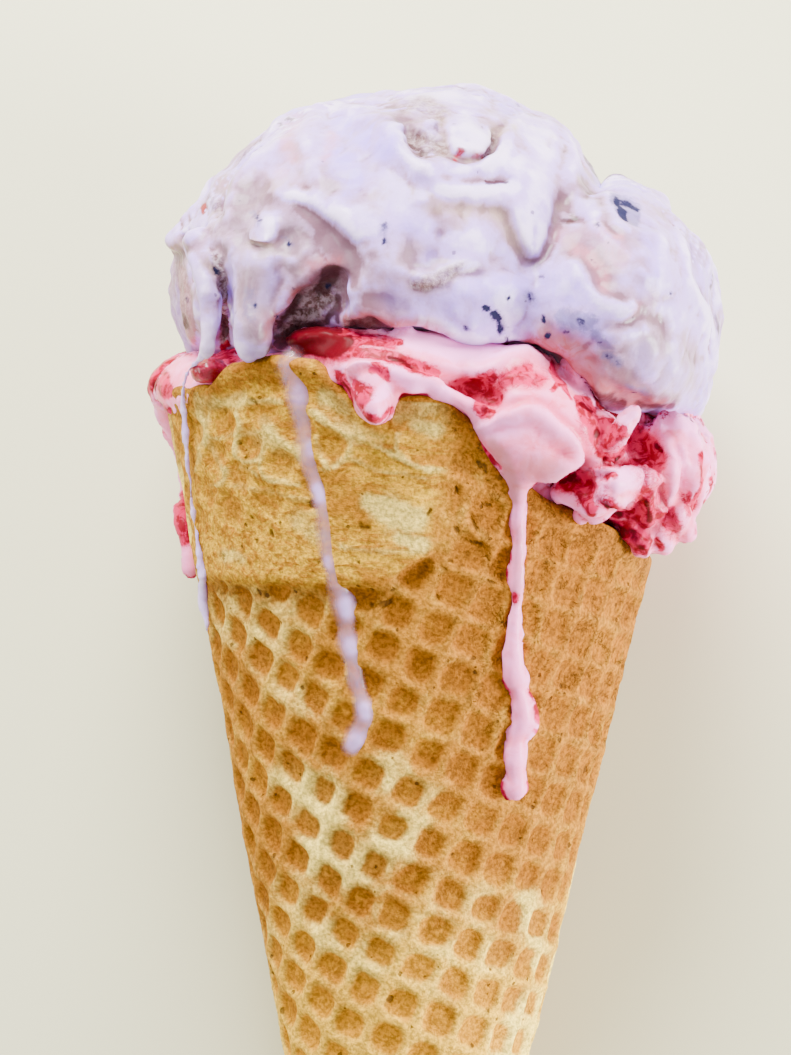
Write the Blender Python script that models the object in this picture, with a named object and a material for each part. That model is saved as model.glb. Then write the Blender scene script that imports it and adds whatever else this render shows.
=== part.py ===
"""Two scoops of melting ice cream in a rolled waffle cone, lying on its back.

Everything is modelled in the cone's own frame, in millimetres: Y runs up the
cone's axis from its theoretical apex, Z points out of the side that is seen
and X runs across it. One empty then lays that frame down, so that the cone's
lower side line lies along the floor and the scoops rest on flat spots.
"""

import math
from collections import namedtuple

import bmesh
import bpy
from mathutils import Matrix, Vector, noise
from mathutils.geometry import delaunay_2d_cdt

MM = 0.001

# Driving dimensions of the cone
HALF_ANGLE = math.radians(12.07)
WALL = 2.4
TIP_Y = 13.0
TIP_NOSE = 1.4
MOUTH_FLOOR_Y = 137.0
RIM_STEPS = 64
# The mouth is an uneven curve: turn round the cone in degrees from the front, and height up the axis
RIM_HEIGHTS = (
    (-180, 153.0), (-140, 160.0), (-100, 165.2), (-66, 166.9), (-53, 166.8), (-45, 169.6), (-33, 170.7),
    (-24, 170.2), (-17, 166.4), (3, 166.0), (9, 163.4), (16, 157.4), (32, 152.8), (46, 150.6),
    (70, 147.0), (105, 145.6), (145, 147.8), (180, 153.0),
)

# The waffle grid: a square lattice on the flat sheet that the cone is rolled from
GRID_PITCH = 5.42
GRID_TURN = math.radians(-21.5)
GRID_START = (6.6, 3.15)
RIB_WIDTH = 1.7
POCKET_DEPTH = 1.1
EDGE_MARGIN = 1.2
# The smooth cuff on the front left stands proud of the grid and ends at a crease, which climbs at its right
CUFF_Y = 140.6
CUFF_PROUD = 0.8
CUFF_TURNS = (-92.0, -62.0, -4.0, 14.0)
CREASE_CLIMB = 6.2
CREASE_CLIMB_TURNS = (-14.0, 8.0)

# How the object lies: the side line is level, a hair above the floor
LIE_DOWN = HALF_ANGLE
APEX_PLACE = (-1.98, -108.49, 0.1)

GAP = 0.35
BODY_VOXEL = 0.9
RUN_SIDES = 8
LUMP_DETAIL = 3
RIPPLE_TRIANGLES = 2150
HUCKLEBERRY_TRIANGLES = 2350
BERRY_SKIN = 0.35

Lump = namedtuple("Lump", "centre radii lean", defaults=(0.0,))

# The lower scoop: raspberry ripple, pressed into the mouth and pushed out over the rim
RIPPLE_LUMPS = (
    Lump((-1.0, 165.5, -0.6), (35.4, 10.5, 36.4)),
    Lump((26.5, 157.6, 6.0), (12.4, 8.6, 20.0), 12.0),
    Lump((24.0, 157.5, -12.0), (13.0, 9.5, 22.0)),
    Lump((-31.2, 166.8, 0.0), (5.3, 4.6, 12.0)),
    Lump((13.0, 165.2, 27.0), (12.0, 5.6, 10.0), -30.0),
    Lump((-4.0, 170.8, 27.0), (15.0, 3.6, 9.0), -8.0),
    Lump((-5.0, 167.2, 32.0), (8.6, 3.4, 5.2), -6.0),
    Lump((-6.6, 164.2, 35.4), (2.6, 3.0, 2.4)),
    Lump((30.6, 151.4, 12.0), (4.4, 4.6, 6.6)),
    Lump((28.6, 149.0, 14.6), (2.4, 2.4, 2.4)),
    Lump((27.0, 163.6, 25.0), (1.9, 5.2, 2.6), -42.0),
    Lump((20.0, 154.6, 27.8), (4.8, 2.4, 3.0), -20.0),
    Lump((13.0, 160.8, 33.4), (6.6, 5.2, 3.6), -24.0),
)
# The upper scoop: huckleberry, a ball with a second lobe folded over on its right
HUCKLEBERRY_LUMPS = (
    Lump((-4.3, 183.6, -2.0), (30.4, 25.0, 38.6), 4.0),
    Lump((6.0, 186.6, -2.0), (17.6, 21.2, 34.0)),
    Lump((22.4, 177.0, -0.6), (18.4, 20.2, 37.0), 6.0),
    Lump((25.4, 181.5, 6.0), (14.0, 15.2, 26.0), 16.0),
    Lump((0.0, 179.6, 4.0), (25.0, 9.0, 33.6), -9.0),
    Lump((5.6, 193.4, 29.4), (6.4, 2.0, 4.6), 6.0),
    Lump((12.9, 189.0, 29.6), (3.2, 5.4, 3.6), 4.0),
    Lump((-25.6, 182.0, 19.5), (4.6, 8.5, 8.0), 4.0),
    Lump((-33.4, 186.4, 4.0), (2.4, 2.2, 4.4), -20.0),
)
# What is missing from the upper scoop: the hollow at its front left, the gap between two drips beside it, the
# cleft that sets off the lobe and the torn crater on top
HUCKLEBERRY_HOLLOWS = (
    Lump((-14.8, 177.0, 37.0), (6.4, 3.9, 9.0), 32.0),
    Lump((-27.0, 177.4, 28.0), (1.5, 6.4, 7.0)),
    Lump((21.6, 200.0, 8.0), (1.5, 6.0, 30.0), 8.0),
    Lump((-2.6, 201.6, 29.0), (4.8, 4.0, 6.4), 12.0),
    Lump((8.0, 198.4, 31.0), (5.0, 2.8, 5.6), -14.0),
)

# A run of melt down the cone: at each station its turn in degrees, its height, how far out of the cone
# its middle lies and its half width
RIPPLE_RUNS = (
    ((20.0, 160.0, 1.6, 4.6), (22.0, 155.4, 1.5, 2.6), (23.0, 152.4, 1.0, 1.1), (22.6, 148.0, 0.9, 1.1),
     (22.8, 144.4, 0.9, 1.25), (22.9, 139.6, 0.8, 0.85), (23.6, 136.0, 0.8, 1.1),
     (24.6, 131.0, 0.9, 1.45), (26.2, 128.0, 0.9, 1.15), (28.4, 124.8, 1.0, 1.5),
     (28.6, 121.6, 0.8, 1.15), (28.6, 119.2, 1.0, 1.5), (29.6, 115.4, 1.1, 1.6)),
    ((-90.0, 165.4, 0.2, 1.6), (-104.0, 159.0, 0.7, 0.9), (-104.0, 153.0, 0.7, 0.8),
     (-95.0, 149.0, 0.9, 1.3), (-93.0, 145.4, 0.7, 0.9), (-92.0, 142.4, 0.8, 0.95)),
)
HUCKLEBERRY_RUNS = (
    ((-54.0, 184.4, -1.9, 2.6), (-52.6, 179.2, -0.2, 2.1), (-50.0, 174.0, 1.2, 1.4),
     (-50.0, 171.0, 2.2, 2.0), (-58.0, 169.8, 1.6, 1.2), (-64.7, 168.0, 1.1, 0.85),
     (-68.0, 164.0, 1.1, 0.75), (-69.4, 159.5, 1.1, 0.75), (-71.0, 156.0, 1.1, 0.7),
     (-74.0, 150.5, 1.1, 0.7), (-75.0, 145.7, 1.1, 0.7), (-75.0, 141.4, 1.1, 0.8),
     (-76.0, 137.7, 1.1, 1.0), (-77.0, 135.2, 1.1, 1.15)),
    ((-39.0, 181.0, -1.8, 4.4), (-38.6, 177.7, -0.8, 3.2), (-36.8, 173.8, 1.5, 2.4),
     (-36.0, 171.6, 2.4, 2.6)),
)
CONE_RUNS = (
    ((-27.6, 168.4, -0.9, 1.6), (-26.8, 162.4, -0.7, 1.5), (-25.4, 155.9, -0.5, 1.15),
     (-23.8, 149.5, -0.5, 1.1), (-22.6, 144.3, -0.5, 1.1), (-20.2, 139.2, -0.4, 1.2),
     (-19.0, 133.3, -0.4, 1.3), (-17.4, 128.8, -0.5, 0.9), (-15.2, 124.9, -0.4, 1.0),
     (-17.6, 121.4, -0.4, 1.1)),
)
# The glossy berry that sits against the rim
BERRY = Lump((-28.9, 168.6, 21.2), (2.5, 1.7, 2.3), 6.0)
BERRY_DIMPLE = 0.16

Finish = namedtuple("Finish", "colour roughness")
WAFFLE = Finish((0.62, 0.34, 0.12), 0.75)
RIPPLE_PINK = Finish((0.86, 0.42, 0.50), 0.40)
HUCKLEBERRY_LILAC = Finish((0.78, 0.72, 0.84), 0.35)
BERRY_RED = Finish((0.32, 0.01, 0.03), 0.20)


def between(value, pairs):
    """Interpolation in a table of (at, height) pairs, half straight and half eased at each pair."""
    for (low, at_low), (high, at_high) in zip(pairs, pairs[1:]):
        if value <= high:
            share = (value - low) / (high - low)
            eased = share * share * (3 - 2 * share)
            return at_low + (at_high - at_low) * (0.5 * share + 0.5 * eased)
    return pairs[-1][1]


def ramp(value, low, high):
    """0 below low, 1 above high and smooth between them."""
    share = min(1.0, max(0.0, (value - low) / (high - low)))
    return share * share * (3 - 2 * share)


def rim_height(turn):
    return between(math.degrees(turn), RIM_HEIGHTS)


def crease(turn):
    """How high the cuff's lower edge is."""
    return CUFF_Y + CREASE_CLIMB * ramp(math.degrees(turn), *CREASE_CLIMB_TURNS)


def cuff(turn, height):
    """How far the smooth cuff stands out of the cone at this place."""
    rise, full, fall, gone = CUFF_TURNS
    degrees = math.degrees(turn)
    across = ramp(degrees, rise, full) * (1 - ramp(degrees, fall, gone))
    return CUFF_PROUD * across * ramp(height, crease(turn) - 0.6, crease(turn) + 0.8)


def outer_radius(turn, height):
    return height * math.tan(HALF_ANGLE) + cuff(turn, height)


def on_cone(turn, height, out=0.0):
    """The point at this turn and height, moved out along the cone's radius."""
    radius = outer_radius(turn, height) + out
    return Vector((radius * math.sin(turn), height, radius * math.cos(turn)))


def sheet_to_cone(across, up):
    """Turn and height on the cone of a point of the flat sheet, whose apex is the origin."""
    slant = math.hypot(across, up)
    return math.atan2(across, up) / math.sin(HALF_ANGLE), slant * math.cos(HALF_ANGLE)


def cone_to_sheet(turn, height):
    slant = height / math.cos(HALF_ANGLE)
    spread = turn * math.sin(HALF_ANGLE)
    return slant * math.sin(spread), slant * math.cos(spread)


def new_object(name, mesh, frame):
    obj = bpy.data.objects.new(name, mesh)
    bpy.context.scene.collection.objects.link(obj)
    obj.parent = frame
    return obj


def mesh_of(build, name):
    """A mesh from a bmesh in millimetres, which it frees."""
    bmesh.ops.recalc_face_normals(build, faces=build.faces)
    bmesh.ops.scale(build, vec=(MM, MM, MM), verts=build.verts)
    mesh = bpy.data.meshes.new(name)
    build.to_mesh(mesh)
    build.free()
    return mesh


def evaluated_mesh(obj):
    """The object's mesh with its modifiers applied."""
    bpy.context.view_layer.update()
    graph = bpy.context.evaluated_depsgraph_get()
    return bpy.data.meshes.new_from_object(obj.evaluated_get(graph))


def apply_modifiers(obj):
    mesh = evaluated_mesh(obj)
    obj.modifiers.clear()
    obj.data = mesh
    return obj


def finish(obj, name, look):
    """Names the node, and gives it its colour and a smooth surface with sharp edges kept."""
    obj.name = name
    material = bpy.data.materials.new(name)
    material.use_nodes = True
    shader = material.node_tree.nodes["Principled BSDF"]
    shader.inputs["Base Color"].default_value = (*look.colour, 1.0)
    shader.inputs["Roughness"].default_value = look.roughness
    obj.data.materials.clear()
    obj.data.materials.append(material)
    obj.data.shade_smooth()
    obj.data.set_sharp_from_angle(angle=math.radians(40))
    return obj


def grid_points():
    """The pockets of the waffle grid on the flat sheet: for each, its four corners and its centre."""
    along = Vector((math.cos(GRID_TURN), math.sin(GRID_TURN)))
    across = Vector((-along.y, along.x))
    half = (GRID_PITCH - RIB_WIDTH) / 2
    reach = int(2 * max(height for _, height in RIM_HEIGHTS) / GRID_PITCH)
    for i in range(-reach, reach):
        for j in range(-reach, reach):
            centre = Vector(GRID_START) + along * (i * GRID_PITCH) + across * (j * GRID_PITCH)
            corners = [centre + along * (half * a) + across * (half * b)
                       for a, b in ((-1, -1), (1, -1), (1, 1), (-1, 1))]
            if all(inside_sheet(corner) for corner in corners):
                yield corners, centre


def inside_sheet(point):
    """Whether a point of the flat sheet is on the cone's gridded side, clear of its edges and of the cuff."""
    turn, height = sheet_to_cone(point.x, point.y)
    seam_room = (math.pi - abs(turn)) * height * math.sin(HALF_ANGLE)
    if not TIP_Y + EDGE_MARGIN < height or seam_room < EDGE_MARGIN:
        return False
    if height > rim_height(turn) - 2 * EDGE_MARGIN:
        return False
    return cuff(turn, crease(turn) + 2) < 0.15 * CUFF_PROUD or height < crease(turn) - EDGE_MARGIN


def sheet_outline():
    """The flat sheet's edge: along the tip, up one seam, back along the rim and down the other seam."""
    turns = [math.pi * (2 * k / RIM_STEPS - 1) for k in range(RIM_STEPS + 1)]
    seam_top = rim_height(math.pi)
    seam_steps = int((seam_top - TIP_Y) / GRID_PITCH)
    seam = [TIP_Y + (seam_top - TIP_Y) * k / seam_steps for k in range(1, seam_steps)]
    tip = [(turn, TIP_Y) for turn in turns[::RIM_STEPS // 16]]
    right = [(math.pi, height) for height in seam]
    rim = [(turn, rim_height(turn)) for turn in reversed(turns)]
    left = [(-math.pi, height) for height in reversed(seam)]
    return tip, tip + right + rim + left


def outer_skin(build):
    """The gridded outer side, in triangles from pocket to pocket and to the sheet's edge.

    Returns the places of the tip's points.
    """
    tip, outline = sheet_outline()
    flat = [Vector(cone_to_sheet(*place)) for place in outline]
    placed = [on_cone(*place) for place in outline]
    edges = [(k, (k + 1) % len(flat)) for k in range(len(flat))]
    for corners, centre in grid_points():
        first = len(flat)
        for corner in corners:
            flat.append(corner)
            placed.append(on_cone(*sheet_to_cone(*corner)))
        flat.append(centre)
        placed.append(on_cone(*sheet_to_cone(*centre), -POCKET_DEPTH))
        edges += [(first + k, first + (k + 1) % 4) for k in range(4)]
    # Rows of plain points under and over the crease give the cuff its step
    for above in (-0.7, 0.9, 9.0, 18.0):
        for degrees in range(-90, 15, 8):
            turn = math.radians(degrees)
            height = crease(turn) + above
            if height < rim_height(turn) - 2 * EDGE_MARGIN:
                flat.append(Vector(cone_to_sheet(turn, height)))
                placed.append(on_cone(turn, height))
    inside = [list(range(len(outline)))]
    result = delaunay_2d_cdt(flat, edges, inside, 1, 1e-5)
    verts = [build.verts.new(placed[source[0]]) for source in result[3]]
    for face in result[2]:
        build.faces.new([verts[k] for k in face])
    bmesh.ops.remove_doubles(build, verts=build.verts, dist=1e-4)
    return [on_cone(*place) for place in tip[:-1]]


def ring(build, height_of, radius_of):
    """A ring of points round the axis, one at each rim step."""
    points = []
    for k in range(RIM_STEPS):
        turn = math.pi * (2 * k / RIM_STEPS - 1)
        height, radius = height_of(turn), radius_of(turn)
        points.append(build.verts.new((radius * math.sin(turn), height, radius * math.cos(turn))))
    return points


def bridge(build, lower, upper):
    count = len(lower)
    for k in range(count):
        after = (k + 1) % count
        build.faces.new((lower[k], lower[after], upper[after], upper[k]))


def mouth(build, wall, above, floor_y):
    """The smooth inside of the cone's mouth, from its rim down to a flat floor."""
    def height(turn, share):
        return floor_y + (rim_height(turn) + above - floor_y) * share

    rings = [ring(build, lambda turn, share=share: height(turn, share),
                  lambda turn, share=share: outer_radius(turn, height(turn, share)) - wall)
             for share in (0.0, 0.5, 1.0)]
    for lower, upper in zip(rings, rings[1:]):
        bridge(build, lower, upper)
    build.faces.new(rings[0])


def close_open_edges(build):
    """Bridges the two loops of open edges that are left at the rim."""
    open_edges = [edge for edge in build.edges if edge.is_boundary]
    bmesh.ops.bridge_loops(build, edges=open_edges)


def waffle_cone(frame):
    build = bmesh.new()
    tip = outer_skin(build)
    build.verts.ensure_lookup_table()
    found = [min(build.verts, key=lambda v, place=place: (v.co - place).length) for place in tip]
    nose = [build.verts.new((v.co.x * 0.6, TIP_Y - 0.7 * TIP_NOSE, v.co.z * 0.6)) for v in found]
    bridge(build, nose, found)
    end = build.verts.new((0, TIP_Y - TIP_NOSE, 0))
    for k, corner in enumerate(nose):
        build.faces.new((end, nose[(k + 1) % len(nose)], corner))
    mouth(build, WALL, 0.0, MOUTH_FLOOR_Y)
    close_open_edges(build)
    bmesh.ops.triangulate(build, faces=build.faces)
    cone = new_object("waffle_cone", mesh_of(build, "waffle_cone"), frame)
    return fuse(cone, [run_object(run, frame) for run in CONE_RUNS])


def cone_room(frame, room):
    """A plain copy of the cone, grown by some room on all sides, to cut the ice cream clear of it."""
    build = bmesh.new()
    below_cuff = CUFF_Y - 2.0

    def height(turn, level):
        rim = rim_height(turn) + room
        return below_cuff * min(level, 1.0) + (rim - below_cuff) * max(level - 1.0, 0.0)

    rings = [ring(build, lambda turn, level=level: height(turn, level),
                  lambda turn, level=level: outer_radius(turn, height(turn, level)) + room)
             for level in (0.05, 0.5, 1.0, 1.5, 2.0)]
    for lower, upper in zip(rings, rings[1:]):
        bridge(build, lower, upper)
    build.faces.new(rings[0])
    mouth(build, WALL + room, room, MOUTH_FLOOR_Y + room)
    close_open_edges(build)
    return as_cutter(new_object("cone_room", mesh_of(build, "cone_room"), frame))


def as_cutter(obj):
    obj.hide_render = True
    obj.display_type = "WIRE"
    return obj


def add_lump(build, lump):
    """An ellipsoid, leaning about the viewing axis."""
    placed = (Matrix.Translation(lump.centre) @ Matrix.Rotation(math.radians(lump.lean), 4, "Z")
              @ Matrix.Diagonal((*lump.radii, 1.0)))
    bmesh.ops.create_icosphere(build, subdivisions=LUMP_DETAIL, radius=1.0, matrix=placed)


def lumps_object(name, lumps, frame):
    build = bmesh.new()
    for lump in lumps:
        add_lump(build, lump)
    return new_object(name, mesh_of(build, name), frame)


def combine(obj, other, operation):
    modifier = obj.modifiers.new("combine", "BOOLEAN")
    modifier.operation = operation
    modifier.solver = "EXACT"
    modifier.object = other
    return apply_modifiers(obj)


def melt(obj, triangles):
    """Fuses the lumps into one rounded body with few faces."""
    remesh = obj.modifiers.new("fuse", "REMESH")
    remesh.mode = "VOXEL"
    remesh.voxel_size = BODY_VOXEL * MM
    soften = obj.modifiers.new("soften", "SMOOTH")
    soften.factor = 0.5
    soften.iterations = 6
    apply_modifiers(obj)
    wrinkle(obj.data)
    thin = obj.modifiers.new("thin", "DECIMATE")
    thin.ratio = triangles / sum(len(face.vertices) - 2 for face in obj.data.polygons)
    thin.use_collapse_triangulate = True
    return apply_modifiers(obj)


def wrinkle(mesh):
    """Uneven swells and dents of the scooped surface, along its normals."""
    swell, grain = 0.9, 11.0
    moved = []
    for vertex in mesh.vertices:
        place = vertex.co / MM / grain
        push = swell * noise.fractal(place, 1.0, 2.0, 3, noise_basis="PERLIN_ORIGINAL")
        moved.append(vertex.co + vertex.normal * (push * MM))
    for vertex, place in zip(mesh.vertices, moved):
        vertex.co = place


def run_object(run, frame):
    """A run of melt as a tube that lies on the cone, thicker where it gathers."""
    curve = bpy.data.curves.new("run", "CURVE")
    curve.dimensions = "3D"
    curve.bevel_depth = MM
    curve.bevel_resolution = RUN_SIDES // 4
    curve.use_fill_caps = True
    spline = curve.splines.new("POLY")
    stations = smooth_stations(run)
    spline.points.add(len(stations) - 1)
    for point, (degrees, height, out, half_width) in zip(spline.points, stations):
        place = on_cone(math.radians(degrees), height, out)
        point.co = (*(place * MM), 1.0)
        point.radius = half_width
    guide = new_object("run_guide", curve, frame)
    tube = new_object("run", evaluated_mesh(guide), frame)
    bpy.data.objects.remove(guide)
    return tube


def smooth_stations(stations, between_each=2):
    """More stations on a smooth line through the given ones, with a rounded end."""
    smooth = []
    for k in range(len(stations) - 1):
        near = [stations[min(max(k + n, 0), len(stations) - 1)] for n in (-1, 0, 1, 2)]
        for step in range(between_each):
            smooth.append(tuple(smooth_between(step / between_each, *values) for values in zip(*near)))
    degrees, height, out, half_width = stations[-1]
    for angle in (0.0, 35.0, 62.0):
        turned = math.radians(angle)
        smooth.append((degrees, height - half_width * math.sin(turned), out, half_width * math.cos(turned)))
    return smooth


def smooth_between(t, before, here, after, beyond):
    """A smooth curve from here to after, which heads as if it came from before and went on beyond."""
    bend = 2 * before - 5 * here + 4 * after - beyond
    twist = 3 * here - before - 3 * after + beyond
    return here + 0.5 * ((after - before) * t + bend * t * t + twist * t ** 3)


def fuse(obj, others):
    """One solid of an object and others, which are removed."""
    for other in others:
        combine(obj, other, "UNION")
        bpy.data.objects.remove(other)
    return obj


def cut(obj, cutters):
    for cutter in cutters:
        combine(obj, cutter, "DIFFERENCE")
    return drop_scraps(obj)


def drop_scraps(obj):
    """Keeps the largest body: cuts leave loose scraps, and joined lumps can close round a hollow."""
    build = bmesh.new()
    build.from_mesh(obj.data)
    waiting, bodies = set(build.verts), []
    while waiting:
        body, edge = set(), [waiting.pop()]
        while edge:
            vertex = edge.pop()
            body.add(vertex)
            near = {link.other_vert(vertex) for link in vertex.link_edges} & waiting
            waiting -= near
            edge.extend(near)
        bodies.append(body)
    bodies.sort(key=len)
    for body in bodies[:-1]:
        bmesh.ops.delete(build, geom=list(body), context="VERTS")
    build.to_mesh(obj.data)
    build.free()
    return obj


def swollen(obj, by):
    """A copy of a piece, grown along its normals, to cut its neighbour clear of it."""
    copy = new_object(obj.name + "_room", obj.data.copy(), obj.parent)
    grow = copy.modifiers.new("grow", "DISPLACE")
    grow.mid_level = 0.0
    grow.strength = by * MM
    apply_modifiers(copy)
    return as_cutter(copy)


def plug(frame):
    """The ice cream in the cone's mouth, down to its floor."""
    build = bmesh.new()
    low, high = MOUTH_FLOOR_Y + 2 * GAP, 166.0
    slope = math.tan(HALF_ANGLE)
    inset = WALL + 2 * GAP
    placed = Matrix.Translation((0, (low + high) / 2, 0)) @ Matrix.Rotation(-math.pi / 2, 4, "X")
    bmesh.ops.create_cone(build, cap_ends=True, segments=RIM_STEPS, radius1=low * slope - inset,
                          radius2=high * slope - inset, depth=high - low, matrix=placed)
    return new_object("plug", mesh_of(build, "plug"), frame)


def floor_block():
    """What lies under the floor, to cut the flat spots that the scoops rest on."""
    build = bmesh.new()
    size, depth = 400.0, 60.0
    placed = Matrix.Translation((0, 0, -depth / 2)) @ Matrix.Diagonal((size, size, depth, 1.0))
    bmesh.ops.create_cube(build, size=1.0, matrix=placed)
    return as_cutter(new_object("floor_block", mesh_of(build, "floor_block"), None))


def berry(frame):
    build = bmesh.new()
    add_lump(build, BERRY)
    obj = new_object("berry", mesh_of(build, "berry"), frame)
    centre = Vector(BERRY.centre)
    for vertex in obj.data.vertices:
        out = (vertex.co / MM - centre).normalized()
        folds = math.cos(5 * math.atan2(out.y, out.x)) * (1 - abs(out.z))
        vertex.co -= out * (BERRY_DIMPLE * (1 + folds) * MM)
    return obj


def main():
    for obj in list(bpy.data.objects):
        bpy.data.objects.remove(obj)
    frame = bpy.data.objects.new("lying_frame", None)
    bpy.context.scene.collection.objects.link(frame)
    frame.rotation_euler.x = LIE_DOWN
    frame.location = Vector(APEX_PLACE) * MM

    cone = waffle_cone(frame)
    fruit = berry(frame)
    fruit_room = swollen(fruit, BERRY_SKIN)
    wall_room = cone_room(frame, GAP)
    floor = floor_block()

    ripple = melt(lumps_object("ripple", RIPPLE_LUMPS, frame), RIPPLE_TRIANGLES)
    fuse(ripple, [plug(frame)] + [run_object(run, frame) for run in RIPPLE_RUNS])
    ripple_room = swollen(ripple, GAP)
    cut(ripple, [wall_room, fruit_room, floor])

    upper = lumps_object("huckleberry", HUCKLEBERRY_LUMPS, frame)
    melt(upper, HUCKLEBERRY_TRIANGLES)
    fuse(upper, [run_object(run, frame) for run in HUCKLEBERRY_RUNS])
    hollows = as_cutter(lumps_object("hollows", HUCKLEBERRY_HOLLOWS, frame))
    cut(upper, [hollows, ripple_room, wall_room, fruit_room, floor])

    cut(fruit, [wall_room])
    finish(cone, "waffle_cone", WAFFLE)
    finish(ripple, "ripple_scoop", RIPPLE_PINK)
    finish(upper, "huckleberry_scoop", HUCKLEBERRY_LILAC)
    finish(fruit, "red_berry", BERRY_RED)
    for helper in (fruit_room, wall_room, floor, ripple_room, hollows):
        bpy.data.objects.remove(helper)


main()
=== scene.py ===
"""Huckleberry ice cream: two melting scoops in a rolled waffle cone, lying on a pale floor.

The pieces are shaped in the cone's own frame, in millimetres: Y runs up the cone's axis from its
theoretical apex, Z points out of the side that is seen and X runs across it. lie_down() brings them into
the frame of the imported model. Places read from the photograph are pixels of its 791 x 1055 frame.
"""

from collections import namedtuple
from functools import partialmethod
from itertools import product
from math import cos, radians, sin, tan

import bpy
import numpy as np
from bpy.props import FloatProperty, FloatVectorProperty, PointerProperty
from mathutils import Matrix, Vector


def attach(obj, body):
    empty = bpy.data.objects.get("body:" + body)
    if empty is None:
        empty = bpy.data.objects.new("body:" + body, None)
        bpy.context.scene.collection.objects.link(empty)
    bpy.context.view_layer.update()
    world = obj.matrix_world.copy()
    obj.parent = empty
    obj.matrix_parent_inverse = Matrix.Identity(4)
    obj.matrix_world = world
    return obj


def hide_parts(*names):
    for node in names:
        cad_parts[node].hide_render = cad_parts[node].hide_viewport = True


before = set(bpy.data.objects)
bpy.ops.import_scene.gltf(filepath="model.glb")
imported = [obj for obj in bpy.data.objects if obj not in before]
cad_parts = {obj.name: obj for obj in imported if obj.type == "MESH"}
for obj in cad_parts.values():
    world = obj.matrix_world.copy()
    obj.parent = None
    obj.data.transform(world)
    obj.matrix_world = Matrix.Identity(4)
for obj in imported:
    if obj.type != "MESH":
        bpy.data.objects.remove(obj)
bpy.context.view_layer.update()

bl_info = {
    "name": "Huckleberry ice cream cone",
    "version": (1, 0, 0),
    "blender": (4, 5, 0),
    "location": "View3D > Sidebar > Ice cream",
    "description": "Builds two melting scoops of ice cream in a waffle cone",
    "category": "Add Mesh",
}

MM = 0.001

# The cone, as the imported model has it: lengths in mm, and turns in degrees from its front
HALF_ANGLE = radians(12.07)
WALL = 2.4
TIP_Y = 13.0
TIP_NOSE = 1.4
MOUTH_FLOOR_Y = 137.0
RIM_HEIGHTS = (
    (-180, 153.0), (-140, 160.0), (-100, 165.2), (-66, 166.9), (-53, 166.8), (-45, 169.6), (-33, 170.7),
    (-24, 170.2), (-17, 166.4), (3, 166.0), (9, 163.4), (16, 157.4), (32, 152.8), (46, 150.6),
    (70, 147.0), (105, 145.6), (145, 147.8), (180, 153.0),
)
CUFF_Y = 140.6
CUFF_PROUD = 0.8
CUFF_TURNS = (-92.0, -62.0, -4.0, 14.0)
CREASE_CLIMB = 6.2
CREASE_CLIMB_TURNS = (-14.0, 8.0)
GRID_START = (6.6, 3.15)
EDGE_MARGIN = 1.2
APEX_PLACE = (-1.98, -108.49, 0.1)

# The camera, in the cone's frame
EYE = (-3.74, 148.81, 750.0)
EYE_UP = (-0.0328, 0.9995, 0.0)
PIXELS_PER_MM = 7.4
PHOTO = (791, 1055)
LENS = 189.4
SENSOR = 36.0

# The stage, in metres
FLOOR_HALF, FLOOR_THICK = 1.6, 0.01
LIGHTS_AIM = (0, 0.06, 0.03)
RIGHT_SHARE, LEFT_SHARE = 3.1, 0.5
SKY_COLOUR = (1.0, 0.99, 0.965, 1.0)

# Fields of distances and what the photograph shows of their surfaces; lengths in mm, but cells in pixels
FAR = 50.0
SIGHT_START, SIGHT_DEPTH = 44.0, 80.0
CLEARANCE = 0.03
SIGHT_CELL, SIGHT_MARGIN, SIGHT_CELLS = 5, 200, 700
HIDDEN_BEHIND = 2.6
FACING = (0.02, 0.30)
# Brush strokes and lips, in shares of their half widths
STROKE_REACH = 2.6
STROKE_FADE = (1.8, 2.5)
LIP_REACH = 2.2
# What brushes paint on the cone, and where its cuff runs out
CONE_SEEN_TURN = 88
CUFF_END_PIXELS = (420, 480)


def ramp(value, low, high):
    """0 below low, 1 above high and smooth between them."""
    share = np.clip((value - low) / (high - low), 0.0, 1.0)
    return share * share * (3 - 2 * share)


def between(values, pairs):
    """Interpolation in a table of (at, height) pairs, half straight and half eased at each pair."""
    at, height = (np.array(column, float) for column in zip(*pairs))
    k = np.clip(np.searchsorted(at, values), 1, len(at) - 1)
    share = np.clip((values - at[k - 1]) / (at[k] - at[k - 1]), 0, 1)
    eased = share * share * (3 - 2 * share)
    return height[k - 1] + (height[k] - height[k - 1]) * (0.5 * share + 0.5 * eased)


CHANCE = np.random.default_rng(11)
SLOPES = CHANCE.normal(size=(256, 3))
SLOPES /= np.linalg.norm(SLOPES, axis=1)[:, None]
SHUFFLE = CHANCE.permutation(256)


def grain(points, size, seed=0):
    """Smooth noise between about -1 and 1 at points in mm, with lumps of this size."""
    place = points / size + 19.7 * seed
    cell = np.floor(place).astype(np.int64)
    inner = place - cell
    fade = inner ** 3 * (inner * (inner * 6 - 15) + 10)
    total = np.zeros(len(points))
    for corner in product((0, 1), repeat=3):
        at = (cell + corner) & 255
        pick = SHUFFLE[(SHUFFLE[(SHUFFLE[at[:, 0]] + at[:, 1]) & 255] + at[:, 2]) & 255]
        weight = np.prod(np.where(corner, fade, 1 - fade), axis=1)
        total += weight * ((inner - corner) * SLOPES[pick]).sum(1)
    return 1.6 * total


def fractal(points, size, seed=0, octaves=3):
    """Noise with ever finer and weaker lumps."""
    total, weight = 0.0, 1.0
    for k in range(octaves):
        total = total + weight * grain(points, size / 2 ** k, seed + 3 * k)
        weight *= 0.5
    return total


def crease(turn):
    """How high the cuff's lower edge is."""
    return CUFF_Y + CREASE_CLIMB * ramp(turn, *CREASE_CLIMB_TURNS)


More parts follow.
